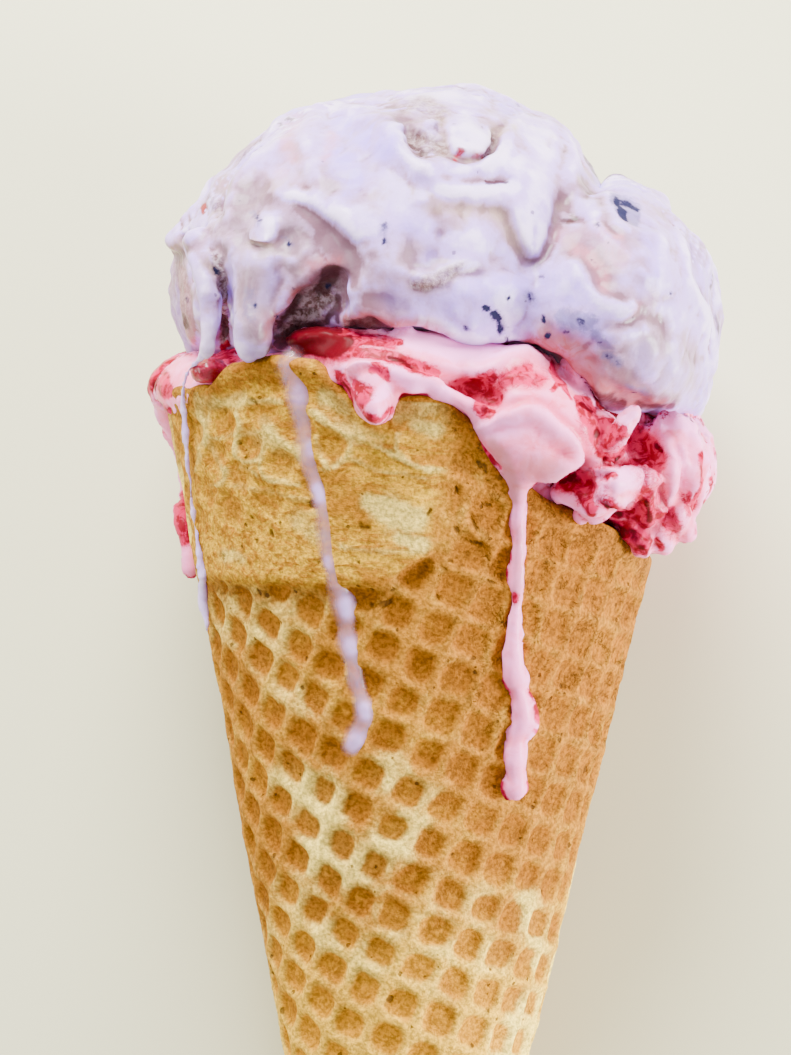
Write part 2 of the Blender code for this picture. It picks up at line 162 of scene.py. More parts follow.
def outer_radius(turn, height):
    """The cone's radius with its proud cuff, for a turn in degrees from the front."""
    rise, full, fall, gone = CUFF_TURNS
    across = ramp(turn, rise, full) * (1 - ramp(turn, fall, gone))
    cuff = CUFF_PROUD * across * ramp(height, crease(turn) - 0.6, crease(turn) + 0.8)
    return height * tan(HALF_ANGLE) + cuff


def on_cone(turn, height, out=0.0):
    """Points at these turns and heights, moved out along the cone's radius."""
    turn, height = np.asarray(turn, float), np.asarray(height, float)
    radius = outer_radius(turn, height) + out
    return np.stack((radius * np.sin(np.radians(turn)), height, radius * np.cos(np.radians(turn))), -1)


def lie_down(points):
    """From the cone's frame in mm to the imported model's in metres."""
    x, y, z = np.asarray(points, float).T
    c, s = cos(HALF_ANGLE), sin(HALF_ANGLE)
    return (np.stack((x, y * c - z * s, y * s + z * c), -1) + APEX_PLACE) * MM


def eye_axes():
    up = np.array(EYE_UP)
    return np.array((up[1], -up[0], 0.0)), up


def pixels_of(points):
    """Where the photograph shows these points."""
    right, up = eye_axes()
    offset = points - EYE
    scale = PIXELS_PER_MM * EYE[2] / -offset[:, 2]
    return PHOTO[0] / 2 + scale * (offset @ right), PHOTO[1] / 2 - scale * (offset @ up)


def along_sight(pixels, depth):
    """Points at this depth, the frame's Z, on the lines of sight of some pixels."""
    right, up = eye_axes()
    pixels = np.asarray(pixels, float)
    share = (EYE[2] - np.asarray(depth, float))[..., None] / EYE[2]
    across = (pixels[:, :1] - PHOTO[0] / 2) / PIXELS_PER_MM
    over = (PHOTO[1] / 2 - pixels[:, 1:2]) / PIXELS_PER_MM
    points = EYE + share * (across * right + over * up)
    points[:, 2] = depth
    return points


def sight_on_cone(pixels, out):
    """Points out of the cone's front by some mm, on the lines of sight of some pixels."""
    depth = np.full(len(pixels), 30.0)
    for _ in range(50):
        points = along_sight(pixels, depth)
        turn = np.degrees(np.arctan2(points[:, 0], depth))
        radius = outer_radius(turn, points[:, 1]) + out
        depth = 0.5 * depth + 0.5 * np.sqrt(np.maximum(radius ** 2 - points[:, 0] ** 2, 0))
    return along_sight(pixels, depth)


def smooth_line(stations, spacing):
    """Stations (rows of numbers) filled up to about this spacing along a smooth line through them."""
    rows = np.asarray(stations, float)
    filled = []
    for k in range(len(rows) - 1):
        before, here, after, beyond = (rows[min(max(k + n, 0), len(rows) - 1)] for n in (-1, 0, 1, 2))
        steps = max(1, int(np.ceil(np.linalg.norm((after - here)[:2]) / spacing)))
        for t in np.arange(steps) / steps:
            bend = 2 * before - 5 * here + 4 * after - beyond
            twist = 3 * here - before - 3 * after + beyond
            filled.append(here + 0.5 * ((after - before) * t + bend * t * t + twist * t ** 3))
    filled.append(rows[-1])
    return np.array(filled)


Lump = namedtuple("Lump", "centre radii lean", defaults=(0.0,))
# A fold is a roll of ice cream along pixels of the photograph: stations of x, y, half width in mm and how
# far its middle stands out of the surface that is already there
Fold = namedtuple("Fold", "stations soft", defaults=(1.0,))
# A brush stroke is a row of numbers: its strength, and then x, y and half width in pixels for each station.
# A lip is where one layer of melt ends over another: x, y, width in pixels and height in mm for each
# station; the layer lies on the left hand of somebody who walks along the stations.


class Field:
    """Distances in mm to a surface, on a grid in the cone's frame; they are negative inside."""

    def __init__(self, low, high, pitch):
        self.low, self.pitch = np.array(low, float), pitch
        self.count = np.ceil((np.array(high) - self.low) / pitch).astype(int) + 1
        self.value = np.full(self.count, FAR, np.float32)

    def window(self, low, high):
        """The grid's part between two corners: its slices, and its coordinates to be broadcast."""
        first = np.clip(np.floor((np.asarray(low) - self.low) / self.pitch).astype(int), 0, self.count)
        last = np.clip(np.ceil((np.asarray(high) - self.low) / self.pitch).astype(int) + 1, 0, self.count)
        place = tuple(slice(a, b) for a, b in zip(first, last))
        x, y, z = ((low + self.pitch * np.arange(a, b)).astype(np.float32)
                   for low, a, b in zip(self.low, first, last))
        return place, (x[:, None, None], y[None, :, None], z[None, None, :])

    def whole(self):
        return self.window(self.low, self.low + self.pitch * self.count)[1]

    def add(self, place, shape, soft):
        """Joins distances to another shape to the field, with a soft hollow between them."""
        here = self.value[place]
        near = np.maximum(soft - np.abs(here - shape), 0)
        self.value[place] = np.minimum(here, shape) - near * near / (4 * soft)

    def cut(self, place, shape, soft):
        here = self.value[place]
        near = np.maximum(soft - np.abs(here + shape), 0)
        self.value[place] = np.maximum(here, -shape) + near * near / (4 * soft)

    def lump(self, lump, soft, keep=True):
        """Adds an ellipsoid, or cuts it out."""
        centre, radii = np.array(lump.centre), np.array(lump.radii)
        reach = max(radii[:2]) + soft + 1
        room = np.array((reach, reach, radii[2] + soft + 1))
        place, (x, y, z) = self.window(centre - room, centre + room)
        c, s = cos(radians(lump.lean)), sin(radians(lump.lean))
        x, y, z = x - centre[0], y - centre[1], z - centre[2]
        x, y = c * x + s * y, c * y - s * x
        inner = np.sqrt((x / radii[0]) ** 2 + (y / radii[1]) ** 2 + (z / radii[2]) ** 2)
        slope = np.sqrt((x / radii[0] ** 2) ** 2 + (y / radii[1] ** 2) ** 2 + (z / radii[2] ** 2) ** 2)
        shape = inner * (inner - 1) / np.maximum(slope, 1e-6)
        (self.add if keep else self.cut)(place, shape, soft)

    def roll(self, points, radii, soft, keep=True):
        """Adds a tube along points in mm, or cuts it out."""
        points, radii = np.asarray(points, float), np.broadcast_to(radii, len(points)).astype(float)
        reach = radii.max() + soft + 1
        place, axes = self.window(points.min(0) - reach, points.max(0) + reach)
        origin = [s.start for s in place]
        shape = np.full([a.size for a in axes], FAR, np.float32)
        for k in range(max(1, len(points) - 1)):
            a, b = points[k], points[min(k + 1, len(points) - 1)]
            ra, rb = radii[k], radii[min(k + 1, len(points) - 1)]
            part, (x, y, z) = self.window(np.minimum(a, b) - reach, np.maximum(a, b) + reach)
            part = tuple(slice(p.start - o, p.stop - o) for p, o in zip(part, origin))
            d = b - a
            t = ((x - a[0]) * d[0] + (y - a[1]) * d[1] + (z - a[2]) * d[2]) / max(d @ d, 1e-9)
            t = np.clip(t, 0, 1)
            away = (x - a[0] - t * d[0], y - a[1] - t * d[1], z - a[2] - t * d[2])
            gap = np.sqrt(away[0] ** 2 + away[1] ** 2 + away[2] ** 2)
            shape[part] = np.minimum(shape[part], gap - (ra + t * (rb - ra)))
        (self.add if keep else self.cut)(place, shape, soft)

    def at(self, points):
        """The distance at some points, read between the grid's own."""
        place = (points - self.low) / self.pitch
        cell = np.clip(np.floor(place).astype(int), 0, self.count - 2)
        t = np.clip(place - cell, 0, 1)
        total = 0.0
        for corner in product((0, 1), repeat=3):
            weight = np.prod(np.where(corner, t, 1 - t), axis=1)
            at = cell + corner
            total = total + weight * self.value[at[:, 0], at[:, 1], at[:, 2]]
        return np.where(((place < 0) | (place > self.count - 1)).any(1), FAR, total)

    def hits(self, pixels, step=0.5):
        """Where the lines of sight of some pixels first meet the surface."""
        pixels = np.asarray(pixels, float)
        depth = np.full(len(pixels), SIGHT_START)
        going = np.ones(len(pixels), bool)
        for _ in range(int(SIGHT_DEPTH / step)):
            inside = self.at(along_sight(pixels, depth)) < 0
            going &= ~inside
            if not going.any():
                break
            depth[going] -= step
        missed = depth < SIGHT_START - SIGHT_DEPTH + 1
        if missed.any() and not missed.all():
            depth[missed] = np.interp(np.flatnonzero(missed), np.flatnonzero(~missed), depth[~missed])
        for _ in range(4):
            step /= 2
            depth += np.where(self.at(along_sight(pixels, depth)) < 0, step, -step)
        return along_sight(pixels, depth)

    def outward(self, points):
        """Which way the surface faces at some points."""
        reach = 1.2
        slope = np.stack([self.at(points + reach * e) - self.at(points - reach * e) for e in np.eye(3)], -1)
        return slope / np.maximum(np.linalg.norm(slope, axis=1), 1e-6)[:, None]

    def fold(self, fold, keep=True):
        """Adds or cuts a roll that follows the surface where the photograph shows it."""
        rows = smooth_line(fold.stations, 8.0)
        points = self.hits(rows[:, :2])
        points = points + self.outward(points) * rows[:, 3:4]
        self.roll(points, rows[:, 2], fold.soft, keep)


def skin(field):
    """The surface of a field as points in mm and quads, one point in each cell that it crosses."""
    inside = field.value < 0
    corners = list(product((0, 1), repeat=3))
    part = [tuple(slice(c, n - 1 + c) for c, n in zip(corner, field.count)) for corner in corners]
    some = np.zeros(field.count - 1, bool)
    every = np.ones(field.count - 1, bool)
    for p in part:
        some |= inside[p]
        every &= inside[p]
    cells = np.argwhere(some & ~every)
    values = np.stack([field.value[tuple((cells + corner).T)] for corner in corners], 1)
    total, met = np.zeros((len(cells), 3)), np.zeros(len(cells))
    for a, b in ((a, b) for a in range(8) for b in range(a + 1, 8)):
        step = np.subtract(corners[b], corners[a])
        if abs(step).sum() != 1:
            continue
        va, vb = values[:, a], values[:, b]
        crossed = (va < 0) != (vb < 0)
        t = np.where(crossed, va / np.where(crossed, va - vb, 1), 0)
        total += crossed[:, None] * (np.array(corners[a]) + t[:, None] * step)
        met += crossed
    points = field.low + field.pitch * (cells + total / met[:, None])
    index = np.full(field.count - 1, -1, np.int64)
    index[tuple(cells.T)] = np.arange(len(cells))
    quads = []
    for axis in range(3):
        one, two = (axis + 1) % 3, (axis + 2) % 3
        front = [slice(1, -1)] * 3
        front[axis] = slice(0, -1)
        back = list(front)
        back[axis] = slice(1, None)
        here, there = inside[tuple(front)], inside[tuple(back)]
        for turned, found in ((False, here & ~there), (True, ~here & there)):
            at = np.argwhere(found)
            at[:, [one, two]] += 1
            ring = []
            for i, j in ((1, 1), (0, 1), (0, 0), (1, 0)):
                cell = at.copy()
                cell[:, one] -= i
                cell[:, two] -= j
                ring.append(index[tuple(cell.T)])
            quads.append(np.stack(ring[::-1] if turned else ring, 1))
    return largest_body(points, np.concatenate(quads))


def largest_body(points, quads):
    """The biggest connected part, because cuts can leave loose scraps."""
    label = np.arange(len(points))
    while True:
        lowest = label[quads].min(1)
        new = label.copy()
        for k in range(4):
            np.minimum.at(new, quads[:, k], lowest)
        new = np.minimum(new, new[new])
        if (new == label).all():
            break
        label = new
    names, sizes = np.unique(label, return_counts=True)
    kept = label == names[sizes.argmax()]
    renumber = np.cumsum(kept) - 1
    return points[kept], renumber[quads[kept[quads[:, 0]]]]


def gather(quads, values, count):
    """Sums values, one per quad's corner, at the points."""
    return np.stack([np.bincount(quads.ravel(), values[..., k].ravel(), count) for k in range(3)], -1)


def relax(points, quads, times, weight=0.5):
    """Evens the surface out by moving each point towards the middle of its neighbours."""
    share = np.bincount(quads.ravel(), minlength=len(points))[:, None] * 2.0
    for _ in range(times):
        corners = points[quads]
        around = gather(quads, np.roll(corners, 1, 1) + np.roll(corners, -1, 1), len(points))
        points = points + weight * (around / share - points)
    return points


def normals_of(points, quads):
    a, b, c, d = (points[quads[:, k]] for k in range(4))
    facing = np.cross(c - a, d - b)
    total = gather(quads, np.repeat(facing[:, None], 4, 1), len(points))
    return total / np.maximum(np.linalg.norm(total, axis=1), 1e-12)[:, None]


class Surface:
    """Points and quads in mm, with what the photograph shows of them and the masks painted on them."""

    def __init__(self, points, quads):
        self.points, self.quads, self.masks = points, quads, {}
        self.refresh()

    def refresh(self):
        """Lifts the points off the floor, and finds the normals and what the photograph shows."""
        sunk = -np.minimum(lie_down(self.points)[:, 2] / MM - CLEARANCE, 0)
        self.points = self.points + sunk[:, None] * (0, sin(HALF_ANGLE), cos(HALF_ANGLE))
        self.normals = normals_of(self.points, self.quads)
        self.px, self.py = pixels_of(self.points)
        at = tuple(np.clip((pixel // SIGHT_CELL).astype(int) + SIGHT_MARGIN, 0, SIGHT_CELLS - 1)
                   for pixel in (self.px, self.py))
        nearest = np.full((SIGHT_CELLS, SIGHT_CELLS), -FAR * 9)
        np.maximum.at(nearest, at, self.points[:, 2])
        self.shown = ramp(self.normals[:, 2], *FACING) * (self.points[:, 2] > nearest[at] - HIDDEN_BEHIND)
        wide, small = (np.stack([grain(self.points, size, seed) for seed in (41, 47)], 1)
                       for size in (3.4, 1.3))
        self.wander = wide + 0.6 * small

    def push(self, height):
        self.points = self.points + self.normals * height[:, None]

    def nudge(self, rows):
        """Moves the points near some pixels: x, y, shift to the right and down, and reach."""
        right, up = eye_axes()
        for x, y, across, down, reach in rows:
            near = np.exp(-((self.px - x) ** 2 + (self.py - y) ** 2) / reach ** 2)
            self.points = self.points + near[:, None] * (across * right - down * up) / PIXELS_PER_MM
        self.refresh()

    def mark_shaded_hollows_and_lit_crests(self):
        """Marks the hollows and the crests of the surface, small and broad ones, so that shade can be
        painted into the hollows and light onto the crests.
        """
        fine, broad = (((relax(self.points, self.quads, times) - self.points) * self.normals).sum(1)
                       for times in (4, 24))
        self.masks["hollow"] = np.minimum(0.6 * ramp(fine, 0.01, 0.08) + 0.8 * ramp(broad, 0.03, 0.40), 1)
        self.masks["crest"] = np.minimum(0.6 * ramp(-fine, 0.01, 0.08) + 0.7 * ramp(-broad, 0.12, 0.42), 1)

    def spread(self, name, values):
        """Adds places to a painted mask."""
        self.masks[name] = np.maximum(self.masks[name], values)

    def strokes(self, brushes, waver):
        """For each brush stroke the points near it, and how strongly it covers them."""
        for brush in brushes:
            near, gap, side, (width,) = self.along(np.reshape(brush[1:], (-1, 3)), STROKE_REACH, waver)
            share = gap / np.maximum(width, 0.5)
            yield near, brush[0] / (1 + share ** 4) * (1 - ramp(share, *STROKE_FADE))

    def painted(self, brushes, waver=3.0):
        """How strongly brush strokes cover each point: 1 in a stroke's middle, 0.5 at its edge."""
        cover = np.zeros(len(self.points))
        for near, strength in self.strokes(brushes, waver):
            cover[near] = np.maximum(cover[near], strength)
        return cover * self.shown

    def relief(self, brushes, waver=1.5):
        """The sum of strokes whose strengths are heights in mm."""
        height = np.zeros(len(self.points))
        for near, strength in self.strokes(brushes, waver):
            height[near] += strength
        return height * self.shown

    def lips(self, rows, edge=2.4, waver=1.8):
        """The height of layers that end in a lip, and how much each point lies under a lip, which is
        darkened as painted shade.
        """
        height, under = np.zeros(len(self.points)), np.zeros(len(self.points))
        for lip in rows:
            near, gap, side, (width, rise) = self.along(np.reshape(lip, (-1, 4)), LIP_REACH, waver)
            over = side * gap
            past = 1 - ramp(over, 0.5 * width, 1.9 * width)
            dip = np.exp(-((over + 1.5 * edge) / (0.3 * width + 1)) ** 2)
            height[near] += rise * (ramp(over, -edge, edge) * past - 0.28 * dip)
            shade = np.exp(-((over + 2.2 * edge) / (0.4 * width + 2)) ** 2)
            under[near] = np.maximum(under[near], np.minimum(rise, 1.2) * shade * (over < edge))
        return height * self.shown, under * self.shown

    def along(self, stations, reach, waver):
        """The points near a line of stations: their distance from it, which hand they lie on (1 for the
        left one) and the stations' further numbers beside them. The line wavers by some pixels."""
        rows = smooth_line(stations, 6.0)
        px, py = self.px + waver * self.wander[:, 0], self.py + waver * self.wander[:, 1]
        room = reach * rows[:, 2].max() + waver
        low, high = rows[:, :2].min(0) - room, rows[:, :2].max(0) + room
        inside = (px > low[0]) & (px < high[0]) & (py > low[1]) & (py < high[1])
        near = np.flatnonzero(inside & (self.shown > 0))
        here = np.stack((px[near], py[near]), 1)
        best, side = np.full(len(near), 1e6), np.ones(len(near))
        beside = np.zeros((rows.shape[1] - 2, len(near)))
        for k in range(max(1, len(rows) - 1)):
            a, b = rows[k], rows[min(k + 1, len(rows) - 1)]
            d, offset = (b - a)[:2], here - a[:2]
            t = np.clip((offset @ d) / max(d @ d, 1e-9), 0, 1)
            gap = np.linalg.norm(offset - t[:, None] * d, axis=1)
            closer = gap < best
            best[closer] = gap[closer]
            side[closer] = np.where(d[0] * offset[:, 1] < d[1] * offset[:, 0], 1.0, -1.0)[closer]
            beside[:, closer] = (a[2:, None] + t * (b - a)[2:, None])[:, closer]
        return near, best, side, beside


def surface_of(field, times):
    """A field's surface, evened out some times."""
    points, quads = skin(field)
    return Surface(relax(points, quads, times), quads)


class ConeView(Surface):
    """The cone's bare points as the photograph shows them, only for brushes to paint on."""

    def __init__(self, points, shown):
        self.points, self.shown = points, shown.astype(float)
        self.px, self.py = pixels_of(points)
        self.wander = fractal(points, 4.0, 41)[:, None] * (1.0, -1.0)


def mesh_of(name, points, faces):
    """A smooth mesh from points in metres and an array of faces with as many corners each."""
    mesh = bpy.data.meshes.new(name)
    sides = faces.shape[1]
    mesh.vertices.add(len(points))
    mesh.vertices.foreach_set("co", np.asarray(points, np.float32).ravel())
    mesh.loops.add(faces.size)
    mesh.loops.foreach_set("vertex_index", faces.astype(np.int32).ravel())
    mesh.polygons.add(len(faces))
    mesh.polygons.foreach_set("loop_start", np.arange(0, faces.size, sides, dtype=np.int32))
    mesh.polygons.foreach_set("loop_total", np.full(len(faces), sides, np.int32))
    mesh.update(calc_edges=True)
    mesh.validate()
    mesh.shade_smooth()
    return mesh


def store(mesh, name, values, kind="FLOAT"):
    attribute = mesh.attributes.new(name, kind, "POINT")
    attribute.data.foreach_set("vector" if kind == "FLOAT_VECTOR" else "value",
                               np.asarray(values, np.float32).ravel())


def piece_of(name, mesh):
    obj = bpy.data.objects.new(name, mesh)
    bpy.context.scene.collection.objects.link(obj)
    return obj


def hand_over(obj, node):
    """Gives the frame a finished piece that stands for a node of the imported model."""
    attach(obj, "root")
    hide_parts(node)


def zipper(lower, upper):
    """Triangles between two closed rows of point numbers, which may differ in count."""
    n, m = len(lower), len(upper)
    low_mid, high_mid = (np.arange(n) + 0.5) / n, (np.arange(m) + 0.5) / m
    i, j = np.arange(n), np.arange(m)
    up = np.searchsorted(high_mid, low_mid, "left")
    down = np.searchsorted(low_mid, high_mid, "right")
    first = np.stack((lower[i], lower[(i + 1) % n], upper[up % m]), 1)
    second = np.stack((upper[(j + 1) % m], upper[j], lower[down % n]), 1)
    return np.concatenate((first, second))


def cone_rows(spacing):
    """Rows of points round the cone, from its nose up the outside, over the rim and down the inside.

    Returns turns, heights and how far out of the cone's side each point is, in one list for each row.
    """
    plain_top = 116.0
    highest = max(height for _, height in RIM_HEIGHTS)
    rows = []

    def row(height_of, out_of, count):
        turn = 360.0 * np.arange(count) / count - 180.0
        rows.append((turn, height_of(turn) + 0 * turn, out_of(turn) + 0 * turn))

    rim = WALL / 2

    def around(height):
        return max(24, int(2 * np.pi * height * tan(HALF_ANGLE) / spacing))

    for height in np.arange(TIP_Y, plain_top, spacing):
        row(lambda turn: height, lambda turn: 0.0, around(height))
    steps = int((highest - rim - plain_top) / spacing)
    for share in np.arange(steps + 1) / steps:
        row(lambda turn: plain_top + (between(turn, RIM_HEIGHTS) - rim - plain_top) * share,
            lambda turn: 0.0, around(plain_top + (highest - plain_top) * share))
    for angle in np.radians((15, 30, 45, 60, 75, 90, 105, 120, 140, 160)):
        row(lambda turn: between(turn, RIM_HEIGHTS) - rim + rim * sin(angle),
            lambda turn: -rim + rim * cos(angle), around(highest))
    for share in (1.0, 0.9, 0.75, 0.6, 0.45, 0.3, 0.15, 0.0):
        row(lambda turn: MOUTH_FLOOR_Y + (between(turn, RIM_HEIGHTS) - rim - MOUTH_FLOOR_Y) * share,
            lambda turn: -WALL, 220)
    return rows


def waffle_skin(spacing):
    """The bare outside and the mouth of the cone, before its pockets are pressed in."""
    rows = cone_rows(spacing)
    turn, height, out = (np.concatenate(column) for column in zip(*rows))
    first = np.cumsum([0] + [len(row[0]) for row in rows])
    numbers = [np.arange(first[k], first[k + 1]) for k in range(len(rows))]
    faces = np.concatenate([zipper(a, b) for a, b in zip(numbers, numbers[1:])])
    outside = out > -0.02
    below_rim = between(turn, RIM_HEIGHTS) - height
    # The rim's front left is a thick browned lip that stands proud; the other edge is thinner and uneven
    lip = ramp(turn, -64, -50) * (1 - ramp(turn, -22, -13))
    swell, neck = (np.exp(-((below_rim - middle) / width) ** 2)
                   for middle, width in ((1.5, 1.5), (4.2, 1.2)))
    proud = 0.55 * lip * swell - 0.30 * lip * neck
    # Rolled by hand, its outer edge laps over itself along the side that it lies on
    lap = -0.6 * (1 - ramp(turn, -180, -150)) * ramp(height, 16, 24)
    points = on_cone(turn, height, out + proud + lap)
    wave = np.minimum(fractal(points, 13.0, 5) * 0.28, 0.2) * ramp(height, 20, 50)
    radial = np.stack((np.sin(np.radians(turn)), 0 * turn, np.cos(np.radians(turn))), -1)
    points = points + radial * (wave * (1 - ramp(np.abs(turn), 110, 150)))[:, None]
    slant, spread = height / cos(HALF_ANGLE), np.radians(turn) * sin(HALF_ANGLE)
    sheet = np.stack((slant * np.sin(spread), slant * np.cos(spread), 0 * slant), -1)
    seam = (180 - np.abs(turn)) * radians(1) * height * sin(HALF_ANGLE)
    # Nose and mouth floor
    nose = points[numbers[0]] * (0.6, 0, 0.6) + (0, TIP_Y - 0.7 * TIP_NOSE, 0)
    ends = np.array(((0, TIP_Y - TIP_NOSE, 0), (0, MOUTH_FLOOR_Y, 0)), float)
    count = len(points)
    ring = count + np.arange(len(nose))
    apex, floor = count + len(nose), count + len(nose) + 1
    last = numbers[-1]
    caps = [zipper(ring, numbers[0]),
            np.stack((ring, np.full(len(ring), apex), np.roll(ring, -1)), 1),
            np.stack((last, np.roll(last, -1), np.full(len(last), floor)), 1)]
    points = np.concatenate((points, nose, ends))
    faces = np.concatenate([faces] + caps)
    extra = len(points) - count

    def longer(values):
        return np.concatenate((values, np.zeros((extra,) + values.shape[1:])))

    facts = dict(turn=turn, height=height, below=below_rim, sheet=sheet, seam=seam,
                 outside=outside.astype(float))
    return points, faces, {name: longer(values) for name, values in facts.items()}


def smooth_cuff(turn, height):
    """1 on the smooth cuff, whose grid was ironed out when the cone was rolled."""
    rise, full, fall, gone = CUFF_TURNS
    across = ramp(turn, rise, full) * (1 - ramp(turn, fall, gone + 6))
    return across * ramp(height, crease(turn) - 1.2, crease(turn) + 1.0)


def group_input(tree, name, kind):
    return tree.interface.new_socket(name, in_out="INPUT", socket_type=kind)


def waffle_relief_tree():
    """Presses square pockets into the cone along its flat sheet's grid, and remembers where they are."""
    tree = bpy.data.node_groups.new("waffle relief", "GeometryNodeTree")
    group_input(tree, "Geometry", "NodeSocketGeometry")
    for name in ("Pitch", "Turn", "Rib Width", "Pocket Depth", "Corner", "Softness", "Unevenness", "Seed"):
        group_input(tree, name, "NodeSocketFloat")
    group_input(tree, "Start", "NodeSocketVector")
    group_input(tree, "Material", "NodeSocketMaterial")
    tree.interface.new_socket("Geometry", in_out="OUTPUT", socket_type="NodeSocketGeometry")
    n = Nodes(tree)
    given = n.add("NodeGroupInput").outputs
    sheet = n.named("sheet", "FLOAT_VECTOR")
    gain = n.named("gain", "FLOAT")
    fineness = n.named("fineness", "FLOAT")
    middle = (0.5, 0.5, 0.5)

    def seeded(scale, detail):
        feeds = {"Vector": sheet, "Scale": scale, "W": given["Seed"], "Detail": detail}
        return n.add("ShaderNodeTexNoise", feeds, noise_dimensions="4D").outputs

    centred = n.vector("SUBTRACT", seeded(0.16, 2.0)["Color"], middle)
    shifted = n.vector("ADD", sheet, n.vector("SCALE", centred, scale=given["Unevenness"]))
    placed = n.vector("SUBTRACT", shifted, given["Start"])
    turned = n.add("ShaderNodeVectorRotate", {"Vector": placed, "Angle": n.times(given["Turn"], -1.0)},
                   rotation_type="Z_AXIS").outputs[0]
    cells = n.vector("SCALE", turned, scale=n.math("DIVIDE", 1.0, given["Pitch"]))
    inner = n.vector("SUBTRACT", n.vector("FRACTION", n.vector("ADD", cells, middle)), middle)
    offset = n.vector("ABSOLUTE", n.vector("SCALE", inner, scale=given["Pitch"]))
    split = n.add("ShaderNodeSeparateXYZ", {"Vector": offset}).outputs
    rib = n.times(given["Rib Width"], n.minus(1.0, n.times(fineness, 0.35)))
    half = n.minus(n.times(n.minus(given["Pitch"], rib), 0.5), given["Corner"])
    qx, qy = (n.minus(split[k], half) for k in (0, 1))
    ox, oy = (n.larger(q, 0.0) for q in (qx, qy))
    corner = n.math("SQRT", n.plus(n.times(ox, ox), n.times(oy, oy)))
    within = n.math("MINIMUM", n.larger(qx, qy), 0.0)
    edge = n.minus(n.plus(corner, within), given["Corner"])
    soft = given["Softness"]
    pocket = n.times(n.stretch(edge, n.times(soft, -1.0), soft, 1.0, 0.0), gain)
    depth = n.times(given["Pocket Depth"], n.plus(0.55, n.times(seeded(0.21, 1.0)[0], 0.9)))
    raised = n.minus(n.named("raised", "FLOAT"), n.times(pocket, depth))
    sunk = n.times(raised, MM)
    stored = n.add("GeometryNodeStoreNamedAttribute", {"Geometry": given["Geometry"], "Name": "pocket",
                                                       "Value": pocket}, data_type="FLOAT", domain="POINT")
    along = n.vector("SCALE", n.add("GeometryNodeInputNormal").outputs[0], scale=sunk)
    moved = n.add("GeometryNodeSetPosition", {"Geometry": stored.outputs[0], "Offset": along})
    real = n.add("GeometryNodeRealizeInstances", {"Geometry": moved.outputs[0]})
    dressed = n.add("GeometryNodeSetMaterial", {"Geometry": real.outputs[0], "Material": given["Material"]})
    n.add("NodeGroupOutput", {"Geometry": dressed.outputs[0]})
    return tree


def baked(obj, tree, values):
    """Runs a geometry tree on the object and keeps the result as its plain mesh."""
    modifier = obj.modifiers.new(tree.name, "NODES")
    modifier.node_group = tree
    for item in tree.interface.items_tree:
        if item.item_type == "SOCKET" and item.in_out == "INPUT" and item.name in values:
            modifier[item.identifier] = values[item.name]
    bpy.context.view_layer.update()
    graph = bpy.context.evaluated_depsgraph_get()
    mesh = bpy.data.meshes.new_from_object(obj.evaluated_get(graph))
    obj.modifiers.clear()
    old, obj.data = obj.data, mesh
    bpy.data.meshes.remove(old)
    mesh.name = obj.name


